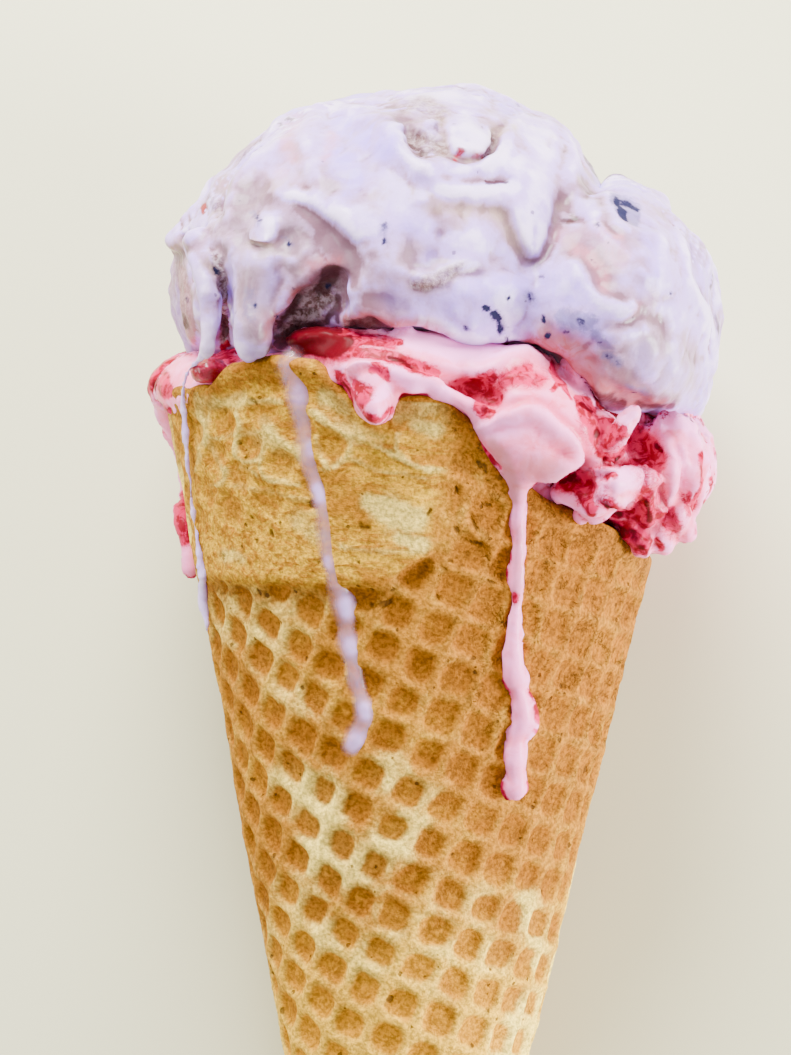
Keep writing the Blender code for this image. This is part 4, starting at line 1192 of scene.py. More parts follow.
# Where the upper scoop's outline lies nearer its middle than the lumps leave it: x, y, shift to the right
# and down, and reach, all in pixels
NUDGES = (
    (196, 186, 5, 8, 22), (222, 152, 6, 12, 24), (250, 130, 3, 9, 24), (285, 112, 0, 5, 28),
    (325, 94, 0, 9, 34), (370, 86, 0, 8, 34), (410, 84, 0, 3, 30), (490, 88, 0, 5, 34),
    (530, 102, -2, 6, 26), (594, 188, -1, 9, 12), (655, 184, -3, 3, 22), (692, 208, -6, 4, 26),
    (716, 240, -8, 3, 30), (734, 285, -9, 0, 34), (736, 340, -7, 0, 34), (726, 390, -5, 0, 26),
)
LEFT_BULB = Lump((-33.4, 186.0, 4.0), (2.4, 2.0, 4.4), -20.0)

# The drip down the cone's left edge: x, y and half width in pixels, and how far out of the cone its middle
# lies, in mm
LEFT_DRIP = (
    (203, 246, 17, -2.9), (205, 262, 13.5, -1.6), (207, 285, 11, -0.2), (208, 310, 10.5, 0.8),
    (208, 335, 10.5, 1.5), (206, 350, 11, 1.6), (199, 360, 7, 1.3), (191, 367, 5.4, 1.0),
    (185.5, 377, 4.6, 0.8), (183, 392, 4.4, 0.6), (183.5, 411, 4.4, 0.6), (186, 433, 5, 0.6),
    (188, 455, 4.2, 0.5), (189.5, 477, 3.8, 0.4), (191.5, 499, 3.5, 0.4), (193.5, 517, 3.4, 0.4),
    (196.5, 536, 3.6, 0.4), (200, 558, 3.7, 0.4), (203, 580, 3.9, 0.4), (204.5, 600, 4, 0.4),
    (206, 615, 5, 0.5), (207, 626, 6.4, 0.7), (206.5, 631, 5, 0.6),
)
# Melt that is placed on the cone: turn, height, how far out of its side the middle lies, half width
BROAD_DRIP = ((-38.0, 181.0, -2.6, 3.4), (-38.0, 177.0, -1.2, 2.8), (-37.2, 174.4, 0.2, 2.4),
              (-36.6, 172.2, 0.6, 2.6))
SIDE_DROPS = (
    (-90.0, 165.4, 0.2, 1.6), (-104.0, 159.0, 0.7, 0.9), (-104.0, 153.0, 0.7, 0.8),
    (-95.0, 149.0, 0.9, 1.3), (-93.0, 145.4, 0.7, 0.9), (-92.0, 142.4, 0.8, 0.95),
)
# The other runs that the photograph shows: x, y and half width in pixels
PINK_DRIP = (
    (527, 452, 34), (523, 466, 26), (520, 478, 17), (520, 490, 11.5), (520, 503, 8.5), (518, 520, 7.5),
    (518, 537, 7.8), (518.5, 556, 8.6), (517.5, 572, 9.6), (516.5, 588, 8.6), (516, 604, 6.4),
    (513.5, 622, 7.8), (513, 640, 9.4), (513, 660, 12.6), (514, 673, 12.4), (518.5, 691, 8.4),
    (521, 708, 11.4), (522, 720, 11.2), (516.5, 739, 8.4), (514.5, 752, 12.6), (513.5, 762, 12.8),
    (515.5, 774, 10.4), (515.5, 785, 12.8), (516, 790, 12.4),
)
MAUVE_RUN = (
    (292, 366, 14), (296, 378, 15), (298.5, 392, 13.5), (301, 411, 11), (305.5, 433, 9.5),
    (308.5, 455, 9.5), (314, 477, 8), (320.5, 499, 9), (325, 517, 8.6), (326.5, 536, 8.6), (331, 558, 8.4),
    (335, 580, 7.4), (343, 598, 11.5), (347, 612, 11), (347, 627, 7.4), (350.5, 645, 11.5),
    (352.5, 660, 7.6), (356, 680, 7.4), (360, 694, 7.4), (366, 710, 9.5), (362.5, 724, 8), (357, 738, 10.5),
    (353, 746, 9),
)
MAUVE_MILKY = (
    (0.7, 300, 392, 8, 300, 398, 8), (0.8, 310, 446, 5, 311, 452, 5), (1.0, 317, 488, 6, 321, 498, 6),
    (1.0, 345, 604, 8, 347, 612, 7), (0.8, 328, 560, 4, 329, 566, 4), (1.0, 350, 645, 8, 351, 650, 7),
    (1.0, 365, 707, 6, 366, 714, 6), (1.1, 355, 740, 9, 354, 744, 8),
)

# The same for the ripple scoop
RIPPLE_FOLDS = {
    "band over the rim": Fold(((340, 352, 1.9, -0.7), (368, 360, 2.5, -0.8), (400, 368, 2.7, -1.0),
                               (432, 380, 2.6, -1.0), (458, 399, 2.1, -0.8), (482, 414, 1.7, -0.5)), 1.2),
    "pale bridge": Fold(((400, 336, 1.0, 0.0), (430, 342, 1.2, 0.2), (460, 343, 1.7, 0.2),
                         (500, 342, 1.6, 0.2), (530, 345, 1.0, 0.0)), 1.0),
    "crumbs on the jam": Fold(((378, 331, 0.7, 0.1), (390, 329, 0.9, 0.3), (404, 329, 0.8, 0.3)), 0.4),
    "tip": Fold(((366, 384, 2.3, -0.6), (372, 401, 2.1, 0.0), (376, 411, 1.9, 0.3)), 0.9),
    "ragged crest": Fold(((578, 378, 1.1, -0.3), (592, 396, 1.3, -0.1), (600, 412, 1.3, 0.0),
                          (604, 428, 1.2, 0.0)), 0.6),
    "curl": Fold(((596, 468, 1.3, 0.0), (603, 482, 1.4, 0.6), (604, 496, 1.3, 0.6),
                  (597, 508, 1.1, 0.2)), 0.5),
    "pale lobe": Fold(((545, 492, 0.9, -0.2), (556, 500, 1.4, 0.0), (574, 508, 1.8, 0.0),
                       (592, 511, 1.7, 0.0)), 0.7),
    "middle lump": Fold(((612, 482, 2.5, -1.0), (632, 480, 2.9, -1.0), (650, 472, 2.7, -1.2)), 1.0),
    "right lump": Fold(((670, 430, 3.2, -1.7), (684, 455, 3.5, -1.9), (690, 480, 3.3, -1.9),
                        (680, 508, 2.9, -1.7)), 1.2),
    "streak on the right lump": Fold(((696, 440, 1.0, -0.3), (701, 465, 1.0, -0.3), (697, 492, 1.0, -0.3),
                                      (688, 512, 0.9, -0.3)), 0.6),
    "second streak": Fold(((666, 468, 1.0, -0.3), (671, 495, 1.0, -0.3), (670, 520, 1.0, -0.3)), 0.6),
    "red lump": Fold(((648, 494, 1.4, -0.1), (650, 508, 1.7, 0.2), (648, 524, 1.4, 0.2)), 0.6),
    "hanging lump": Fold(((628, 518, 1.6, 0.2), (637, 534, 2.1, 0.9), (641, 549, 1.9, 1.4)), 0.6),
    "pale hanging lump": Fold(((660, 528, 1.4, -0.3), (664, 540, 1.3, 0.0), (664, 547, 1.0, 0.1)), 0.6),
    "last lump on the right": Fold(((676, 514, 1.5, -0.3), (682, 526, 1.4, 0.0), (684, 533, 1.0, 0.1)), 0.6),
    "ridge under the lobe": Fold(((516, 350, 1.3, 0.4), (546, 352, 1.7, 0.9), (566, 363, 1.9, 1.1),
                                  (581, 378, 1.7, 1.1), (592, 394, 1.1, 0.5), (597, 403, 0.8, 0.0)), 1.0),
    "crumbs on the right lump": Fold(((650, 427, 0.6, 0.2), (658, 419, 0.8, 0.4), (666, 414, 0.7, 0.5),
                                      (673, 415, 0.5, 0.3)), 0.35),
    "crumbs beside them": Fold(((679, 420, 0.5, 0.2), (686, 415, 0.8, 0.4), (694, 418, 0.7, 0.3),
                                (700, 425, 0.5, 0.1)), 0.35),
    "flesh over the tear": Fold(((656, 426, 1.2, -0.5), (668, 420, 1.7, -0.4), (682, 424, 1.8, -0.4)), 0.8),
}
# The finger that points up out of the jam: pixels, half width, and how far it stands toward the eye, in mm
FINGER = (
    (598, 456, 1.5, -0.6), (606, 446, 1.2, 0.2), (616, 434, 0.95, 0.9), (626, 422, 0.85, 1.5),
    (633, 413, 0.75, 1.8),
)
RIPPLE_LIPS = (
    (430, 366, 8, 0.4, 450, 374, 8, 0.8, 470, 377, 9, 1.0, 485, 376, 9, 1.0, 500, 372, 9, 1.0,
     520, 365, 9, 0.9, 540, 366, 9, 0.8, 556, 372, 8, 0.4),
    (545, 486, 8, 0.3, 560, 474, 10, 0.9, 578, 462, 11, 1.2, 580, 446, 12, 1.3, 572, 434, 12, 1.3,
     556, 420, 12, 1.2, 545, 410, 12, 1.1, 530, 404, 12, 1.0, 512, 408, 11, 0.9, 498, 414, 10, 0.8,
     484, 421, 8, 0.3),
    (480, 404, 8, 0.5, 455, 388, 9, 0.8, 430, 374, 9, 0.8, 405, 367, 9, 0.8, 380, 362, 9, 0.7,
     355, 360, 8, 0.6, 338, 364, 6, 0.2),
    (665, 478, 7, 0.4, 655, 472, 8, 0.8, 640, 470, 9, 0.9, 622, 468, 9, 0.9, 606, 470, 7, 0.4),
    (602, 500, 7, 0.3, 618, 508, 8, 0.7, 634, 504, 8, 0.7, 644, 494, 7, 0.3),
    (683, 530, 8, 0.3, 690, 510, 9, 0.8, 698, 490, 9, 0.9, 702, 465, 9, 0.9, 699, 445, 8, 0.5,
     694, 430, 7, 0.2),
    (658, 436, 9, 0.5, 664, 455, 9, 0.9, 668, 475, 9, 1.0, 664, 500, 9, 0.9, 660, 520, 8, 0.6,
     658, 535, 7, 0.2),
    (352, 378, 6, 0.3, 358, 372, 7, 0.6, 372, 368, 7, 0.5, 386, 372, 6, 0.2),
    (584, 470, 6, 0.3, 598, 474, 7, 0.8, 610, 480, 7, 0.7, 608, 496, 6, 0.4),
    (676, 440, 6, 0.2, 682, 462, 7, 0.5, 682, 486, 7, 0.5, 676, 508, 6, 0.3),
)
RIPPLE_RELIEF = (
    (0.7, 404, 344, 12, 445, 352, 14, 500, 352, 14, 545, 358, 12),
    (-0.9, 450, 382, 6, 476, 390, 8, 492, 398, 8), (-0.5, 505, 386, 9, 535, 384, 9),
    (0.6, 500, 430, 18, 530, 440, 22), (0.8, 560, 352, 8, 584, 376, 8),
    (0.5, 352, 370, 8, 376, 376, 9, 410, 384, 10), (0.6, 372, 402, 7, 374, 412, 6),
    (-0.6, 404, 398, 5, 426, 399, 5), (0.7, 625, 480, 10, 645, 482, 9), (0.5, 560, 500, 7, 590, 508, 7),
    (-0.7, 606, 462, 6, 622, 462, 6), (0.6, 676, 425, 9, 700, 440, 9), (0.4, 650, 505, 6, 650, 522, 6),
    (0.4, 630, 430, 6, 614, 444, 6),
)
RIPPLE_GROOVES = {
    "gap beside the ridge": Fold(((580, 373, 0.6, 0.0), (592, 388, 1.0, 0.0), (602, 401, 1.3, 0.0),
                                  (609, 412, 1.1, 0.0)), 0.4),
    "tear on the right": Fold(((640, 432, 1.2, 0.0), (640, 446, 2.2, -0.3), (648, 456, 2.4, -0.3),
                               (632, 462, 1.8, -0.1), (616, 464, 1.0, 0.1)), 0.4),
    "gap over the spike": Fold(((604, 408, 1.0, 0.2), (640, 416, 1.1, 0.1), (648, 420, 1.0, 0.1)), 0.4),
    "gap on the far right": Fold(((684, 414, 0.7, 0.1), (688, 424, 0.7, 0.1)), 0.3),
    "shade under the red lump": Fold(((618, 524, 0.9, 0.3), (628, 532, 1.0, 0.3)), 0.4),
    "hollow over the drip": Fold(((450, 384, 1.5, 0.7), (472, 390, 1.9, 0.8), (492, 397, 1.8, 0.7)), 1.0),
    "jam pocket": Fold(((306, 347, 1.6, 0.6), (326, 343, 2.0, 0.7), (348, 343, 1.6, 0.7)), 0.8),
    "edge under the band": Fold(((346, 362, 0.8, 0.2), (352, 376, 0.9, 0.2), (360, 390, 0.8, 0.2)), 0.5),
    "cleft under the drip": Fold(((546, 488, 0.8, 0.1), (562, 482, 1.6, -0.1), (578, 476, 1.8, 0.0),
                                  (586, 486, 1.2, 0.2)), 0.4),
    "cleft by the red lump": Fold(((608, 462, 0.9, 0.2), (622, 474, 0.9, 0.2), (600, 474, 0.9, 0.2)), 0.5),
}

# Brush strokes for each mask that a piece's material or shape reads
HUCKLEBERRY_PAINT = {
    # Whitish melt; the strokes along the lower edge over the pink and below the tongue are painted light,
    # laid where a shadow falls.
    "white_and_light": (
        (1.0, 180, 208, 10, 186, 226, 8), (1.1, 268, 220, 7, 268, 230, 8), (0.9, 290, 199, 5, 305, 200, 6),
        (0.7, 214, 196, 4, 214, 208, 4), (0.9, 342, 212, 12, 365, 225, 14, 385, 240, 14, 388, 258, 10),
        (0.6, 400, 180, 12, 398, 205, 12), (1.1, 440, 192, 5, 480, 192, 6, 512, 188, 8),
        (1.1, 465, 118, 10, 470, 140, 11, 464, 152, 7),
        (1.0, 520, 120, 10, 540, 140, 14, 548, 170, 14, 535, 200, 12, 532, 235, 8),
        (0.9, 432, 166, 5, 460, 172, 5, 520, 160, 9), (0.9, 455, 240, 12, 480, 245, 12),
        (0.6, 190, 268, 4, 196, 290, 4), (0.9, 206, 270, 5, 208, 330, 6, 208, 350, 8),
        (0.9, 233, 262, 2.5, 232, 290, 2.5, 233, 330, 3), (0.9, 240, 345, 6, 262, 348, 6),
        (0.6, 352, 296, 5, 352, 320, 4), (0.6, 300, 130, 5, 312, 160, 4),
        (0.7, 660, 245, 6, 660, 268, 6, 662, 290, 7),
        (0.9, 676, 225, 3, 681, 245, 3, 686, 270, 3, 696, 295, 3, 706, 318, 3, 710, 350, 3, 708, 400, 4),
        (0.5, 672, 345, 3, 674, 370, 4), (0.6, 612, 300, 5, 622, 306, 5), (0.6, 588, 200, 6, 596, 222, 6),
        (0.7, 300, 108, 6, 340, 104, 5, 352, 112, 4, 320, 150, 5, 316, 178, 4),
        (0.6, 415, 165, 5, 400, 150, 4, 392, 126, 3), (0.5, 560, 210, 6, 552, 240, 6),
        (0.5, 436, 286, 8, 400, 300, 9), (0.9, 410, 98, 7, 440, 96, 7, 480, 100, 6),
        (0.8, 410, 322, 5, 440, 320, 6, 480, 336, 6, 520, 332, 5), (0.8, 500, 300, 6, 508, 330, 5),
        (1.2, 450, 336, 5, 480, 342, 6, 510, 341, 5), (0.5, 560, 290, 8, 590, 300, 8, 620, 312, 8),
        (0.7, 502, 250, 8, 528, 264, 8), (0.6, 548, 208, 7, 553, 240, 7),
    ),
    "violet": (
        (1.0, 342, 124, 12, 366, 132, 18, 388, 148, 14), (1.0, 336, 150, 14, 352, 176, 14, 350, 192, 8),
        (0.7, 392, 138, 8, 398, 152, 8), (0.5, 405, 225, 10, 436, 240, 10, 425, 262, 8),
        (0.9, 505, 110, 6, 522, 108, 5), (0.7, 450, 300, 14, 500, 285, 14, 545, 290, 20, 580, 296, 14),
        (0.5, 450, 295, 14, 480, 310, 12), (0.7, 645, 228, 8, 650, 270, 8, 642, 290, 7),
        (0.6, 610, 186, 6, 640, 186, 8), (0.5, 690, 240, 5, 700, 270, 6, 705, 300, 5),
        (0.7, 570, 322, 14, 596, 330, 12), (0.45, 640, 350, 10, 650, 380, 8),
        (0.9, 254, 144, 5, 262, 138, 5), (0.5, 272, 278, 8, 262, 300, 7), (0.5, 392, 296, 10, 420, 306, 8),
    ),
    # Rosy tint, and painted shade along the lower edge over the pink, on the far left face and in the right
    # lobe's dip.
    "rose_and_shade": (
        (0.55, 296, 118, 10, 286, 140, 8, 296, 160, 8), (0.6, 332, 132, 5, 322, 158, 5),
        (0.4, 282, 172, 9, 300, 182, 7), (0.9, 612, 238, 4, 618, 240, 4),
        (0.8, 575, 246, 6, 590, 256, 7, 602, 268, 7, 606, 286, 6), (0.5, 640, 304, 5, 634, 312, 4),
        (0.8, 170, 262, 4, 172, 300, 4, 176, 335, 5), (0.6, 210, 184, 5, 228, 186, 4),
        (0.9, 566, 350, 5, 590, 372, 8, 606, 390, 8, 640, 398, 8), (0.8, 524, 334, 5, 560, 340, 6),
        (0.8, 404, 318, 6, 440, 322, 6), (0.7, 350, 322, 7, 384, 318, 8), (0.6, 584, 140, 5, 588, 170, 5),
        (0.4, 560, 236, 8, 584, 232, 8), (0.5, 600, 228, 6, 622, 262, 8),
        (1.0, 540, 336, 7, 560, 346, 8, 580, 364, 9, 600, 384, 9, 630, 400, 7),
        (0.7, 184, 300, 8, 188, 340, 8), (0.9, 345, 318, 6, 380, 320, 6),
    ),
    # Painted shade: mauve in the valleys, under the brow and folds, in the cavity and along the lower edges.
    "mauve_shade": (
        (0.8, 298, 208, 5, 310, 216, 6, 318, 228, 7),
        (1.1, 320, 236, 8, 334, 250, 11, 346, 266, 12, 352, 286, 10),
        (1.0, 298, 292, 8, 312, 278, 10, 332, 270, 10), (0.6, 296, 242, 14, 318, 256, 16),
        (0.7, 246, 196, 10, 262, 178, 8, 268, 200, 8), (0.4, 240, 168, 7, 236, 220, 7),
        (0.6, 284, 236, 8, 292, 252, 8), (0.7, 222, 275, 4, 224, 300, 4), (0.9, 275, 318, 5, 266, 332, 4),
        (1.1, 352, 324, 8, 372, 318, 10, 392, 320, 6), (0.5, 400, 240, 10, 404, 260, 8),
        (0.7, 420, 287, 6, 440, 284, 6), (0.6, 248, 292, 7, 252, 325, 7),
        (0.6, 640, 310, 9, 662, 325, 8, 650, 340, 10), (0.5, 690, 335, 8, 698, 360, 7),
        (0.5, 612, 325, 6, 624, 350, 8), (0.9, 600, 382, 9, 640, 394, 10, 672, 402, 8),
        (1.1, 560, 352, 5, 584, 372, 7, 606, 392, 9, 622, 402, 8), (0.6, 600, 360, 12, 640, 385, 9),
        (0.6, 572, 190, 6, 586, 196, 5), (0.7, 430, 200, 4, 436, 214, 6),
        (0.6, 178, 264, 6, 184, 300, 6, 180, 335, 6), (0.5, 594, 275, 5, 604, 294, 7, 622, 300, 6),
        (0.9, 250, 276, 9, 252, 305, 10, 254, 338, 9), (0.9, 184, 296, 10, 187, 320, 9, 188, 344, 8),
        (0.8, 348, 300, 9, 372, 304, 12, 404, 304, 8), (0.4, 364, 232, 12, 388, 240, 12),
        (0.5, 566, 236, 14, 592, 246, 14, 608, 266, 14), (0.4, 408, 246, 12, 430, 262, 12),
        (0.6, 246, 190, 10, 270, 194, 12), (0.6, 386, 112, 10, 398, 124, 8),
        (0.7, 548, 326, 8, 566, 334, 9), (0.45, 640, 268, 8, 652, 300, 10),
        (0.35, 300, 160, 14, 340, 200, 10), (0.5, 300, 300, 14, 312, 318, 14, 330, 306, 12),
        (1.1, 250, 280, 9, 252, 305, 10, 254, 335, 9), (0.7, 366, 246, 9, 376, 262, 9),
        (0.7, 566, 240, 12, 588, 248, 13, 604, 268, 13), (0.4, 244, 192, 12, 276, 198, 12),
        (0.4, 336, 192, 12, 366, 200, 12), (0.4, 438, 208, 8, 452, 214, 8),
        (0.5, 384, 112, 10, 404, 120, 8), (0.4, 182, 244, 6, 176, 246, 5),
        (0.55, 366, 258, 12, 376, 272, 11), (0.4, 344, 204, 10, 364, 214, 12, 380, 236, 12),
        (0.5, 186, 244, 8, 214, 236, 10, 230, 246, 8), (0.5, 412, 262, 12, 428, 272, 10),
        (0.7, 564, 248, 12, 584, 262, 13, 604, 278, 12), (0.8, 250, 306, 10, 256, 326, 10, 268, 334, 8),
        (0.6, 342, 286, 9, 346, 306, 9), (0.5, 190, 330, 8, 188, 350, 8),
        (0.35, 438, 214, 10, 452, 230, 10), (0.6, 206, 308, 5, 208, 300, 5),
        (0.35, 250, 206, 12, 282, 214, 12), (0.45, 270, 246, 10, 290, 252, 9),
        (0.5, 440, 326, 8, 446, 332, 6), (1.3, 590, 378, 8, 604, 390, 10, 622, 398, 9, 648, 403, 6),
        (0.5, 350, 200, 14, 370, 220, 14, 384, 246, 12, 372, 270, 10),
        (0.5, 564, 242, 13, 588, 256, 13, 606, 270, 12), (0.7, 402, 126, 8, 420, 132, 8),
        (1.3, 596, 384, 9, 612, 396, 9, 640, 402, 7),
    ),
    # Painted shade: duller greyish places on the left side, between the columns and low on the right lobe.
    "grey_shade": (
        (0.9, 250, 200, 16, 246, 240, 18, 252, 300, 20, 252, 345, 14), (0.6, 205, 270, 10, 210, 345, 12),
        (0.8, 290, 230, 12, 296, 262, 12), (0.6, 225, 190, 14, 232, 225, 14),
        (0.8, 182, 280, 10, 186, 335, 10), (0.5, 392, 262, 12, 410, 250, 12),
        (0.6, 645, 345, 20, 680, 370, 18), (0.5, 722, 300, 8, 726, 360, 8),
    ),
    # Painted shade: warm tan under the tongue, ridge, knob and other folds, with a few tan spots in the
    # crater.
    "beige_shade": (
        (0.7, 432, 208, 7, 470, 211, 9, 498, 213, 8, 509, 226, 7, 516, 242, 6, 530, 257, 4),
        (1.1, 256, 245, 4, 268, 246, 5), (1.3, 172, 248, 5, 184, 244, 4), (0.5, 572, 184, 5, 592, 182, 4),
        (0.4, 556, 215, 4, 562, 200, 4), (0.8, 412, 108, 6, 430, 104, 6, 444, 120, 6),
        (0.7, 425, 282, 6, 455, 272, 6), (0.9, 412, 142, 8, 440, 146, 10),
        (1.0, 492, 128, 4, 488, 142, 5, 478, 158, 5, 466, 162, 4), (0.8, 210, 262, 4, 218, 268, 4),
        (0.5, 280, 184, 8, 310, 176, 8), (0.5, 205, 200, 6, 212, 216, 6), (0.8, 500, 132, 4, 514, 130, 4),
        (0.6, 549, 143, 3, 550, 146, 3), (0.5, 478, 126, 3, 484, 127, 2),
    ),
    "crumb": (
        (0.6, 408, 108, 8, 425, 108, 9, 442, 116, 7), (0.8, 410, 142, 7, 424, 144, 10, 440, 150, 9),
        (0.9, 491, 138, 5, 484, 155, 5), (1.1, 326, 292, 12, 312, 308, 14, 296, 322, 10, 284, 338, 8),
        (1.0, 220, 258, 5, 224, 300, 6, 225, 340, 6), (0.4, 180, 270, 7, 183, 300, 9, 182, 335, 8),
        (0.7, 214, 198, 5, 220, 212, 5), (0.7, 416, 284, 7, 440, 280, 7, 458, 270, 5),
        (0.7, 350, 324, 6, 372, 322, 6), (0.7, 584, 386, 4, 600, 404, 4),
    ),
    # Painted shade, nearly black, in the gaps, slits, slot, pits and cavity, with a few fruit marks.
    "stain_and_shade": (
        (1.4, 272, 352, 6, 280, 344, 8, 296, 334, 6, 312, 330, 4), (1.2, 226, 318, 5, 226, 332, 5),
        (1.3, 602, 404, 7, 614, 412, 8, 622, 408, 5), (1.2, 330, 276, 9, 324, 286, 8),
        (1.0, 336, 308, 4, 328, 322, 4), (0.8, 300, 296, 4, 290, 310, 5, 278, 326, 5),
        (1.0, 354, 324, 5, 372, 320, 6, 388, 322, 4), (1.0, 412, 324, 2.5, 430, 326, 3, 446, 334, 3),
        (1.1, 522, 339, 1.5, 536, 339, 2, 550, 344, 2.5, 564, 356, 3, 578, 371, 3.5, 592, 390, 5),
        (0.9, 412, 146, 5, 420, 152, 4), (1.3, 486, 184, 2.2, 504, 184, 2.2),
        (0.9, 566, 219, 3, 578, 217, 2), (0.9, 640, 408, 5, 672, 408, 4), (0.8, 182, 318, 3, 186, 328, 3),
        (0.7, 436, 126, 3, 437, 132, 3), (0.7, 176, 302, 2, 178, 308, 2),
        (0.35, 296, 308, 7, 310, 312, 8, 326, 300, 7), (0.9, 338, 298, 3, 340, 320, 3),
        (0.9, 298, 330, 7, 318, 324, 6), (0.8, 590, 384, 3, 602, 396, 5, 614, 405, 5),
        (0.7, 300, 326, 8, 314, 330, 8),
    ),
    "red": (
        (0.75, 454, 160, 3, 461, 156, 3.4), (1.1, 205, 206, 2.5, 206, 213, 3),
        (0.6, 470, 161, 3, 482, 160, 3), (1.1, 222, 348, 4, 230, 342, 3),
    ),
    "bruise": (
        (1.3, 616, 200, 6, 624, 206, 8, 632, 212, 8, 634, 219, 6), (0.9, 566, 318, 9, 590, 322, 9),
        (0.9, 596, 334, 6, 608, 346, 6), (0.8, 606, 356, 5, 620, 364, 5), (0.6, 497, 316, 7, 501, 324, 6),
        (0.7, 385, 228, 5, 386, 240, 4), (0.6, 528, 297, 6, 534, 300, 5), (0.6, 434, 88, 6, 448, 90, 5),
        (0.6, 630, 388, 5, 646, 394, 5), (0.6, 252, 300, 4, 256, 314, 4), (0.5, 284, 240, 4, 290, 246, 4),
        (0.6, 254, 214, 4, 260, 222, 4), (0.55, 249, 292, 6, 252, 318, 6),
    ),
    "berry": (
        (1.5, 613, 197, 1.4, 618, 203, 2.4, 621, 210, 3.2, 624, 217, 3, 627, 221, 1.6),
        (0.9, 620, 199, 1.2, 630, 205, 1.5, 638, 211, 1.4), (1.3, 486, 306, 2.6, 488, 308, 2.4),
        (1.3, 494, 313, 3.6, 498, 317, 4), (1.2, 499, 325, 3.6, 500, 327, 3),
        (0.9, 506, 333, 1.8, 507, 334, 1.5), (1.2, 328, 283, 2.4, 328, 284, 2.4),
        (1.2, 442, 86, 3, 447, 88, 2), (0.9, 515, 107, 3, 520, 109, 2), (1.1, 507, 299, 2, 508, 300, 2),
        (1.1, 545, 317, 2, 546, 321, 2), (1.2, 386, 240, 2, 386, 241, 2), (0.7, 385, 226, 3, 386, 229, 3),
        (1.0, 287, 242, 2.4, 288, 244, 2.4), (0.9, 258, 218, 1.6, 262, 220, 1.4),
        (0.8, 581, 320, 2.6, 584, 322, 2.6), (0.7, 608, 358, 2, 610, 360, 2),
        (0.7, 618, 364, 2, 620, 365, 2), (1.0, 254, 300, 1.1, 256, 308, 1.4, 259, 314, 1.1),
        (1.0, 275, 315, 2, 276, 317, 2), (0.9, 593, 259, 1.6, 594, 260, 1.6),
        (0.7, 542, 277, 2, 544, 278, 2), (0.7, 530, 297, 3, 532, 299, 3), (0.7, 671, 293, 2, 672, 294, 2),
        (1.1, 174, 339, 3, 175, 342, 3), (1.0, 218, 268, 3, 219, 270, 3), (0.7, 465, 320, 2, 466, 321, 2),
        (0.7, 598, 226, 2, 600, 227, 2), (0.8, 550, 330, 2, 553, 331, 2), (0.7, 186, 300, 2, 188, 302, 2),
        (0.7, 634, 396, 2, 636, 397, 2), (0.6, 598, 340, 2, 600, 341, 2),
        (0.6, 568, 330, 1.6, 570, 331, 1.6),
    ),
    # Painted shade: dark reddish on the underside over the pink, in the cavity and on the far left face.
    "flush": (
        (1.1, 528, 333, 5, 548, 334, 9, 566, 344, 11, 581, 360, 11, 596, 377, 11, 609, 391, 10, 632, 401, 9,
         662, 403, 6),
        (0.25, 560, 330, 7, 590, 355, 11, 620, 382, 11, 650, 392, 9),
        (1.0, 268, 340, 6, 272, 322, 7, 290, 300, 6, 304, 284, 5),
        (1.0, 348, 318, 6, 372, 314, 7, 398, 318, 5), (0.6, 404, 317, 5, 430, 319, 5, 450, 330, 5),
        (0.8, 178, 270, 7, 184, 310, 8, 188, 342, 8), (0.9, 222, 300, 4, 224, 340, 5),
        (0.7, 310, 268, 8, 332, 262, 7), (0.4, 572, 246, 8, 592, 256, 8, 604, 280, 8),
        (1.1, 588, 374, 8, 604, 388, 9, 622, 397, 7),
    ),
}
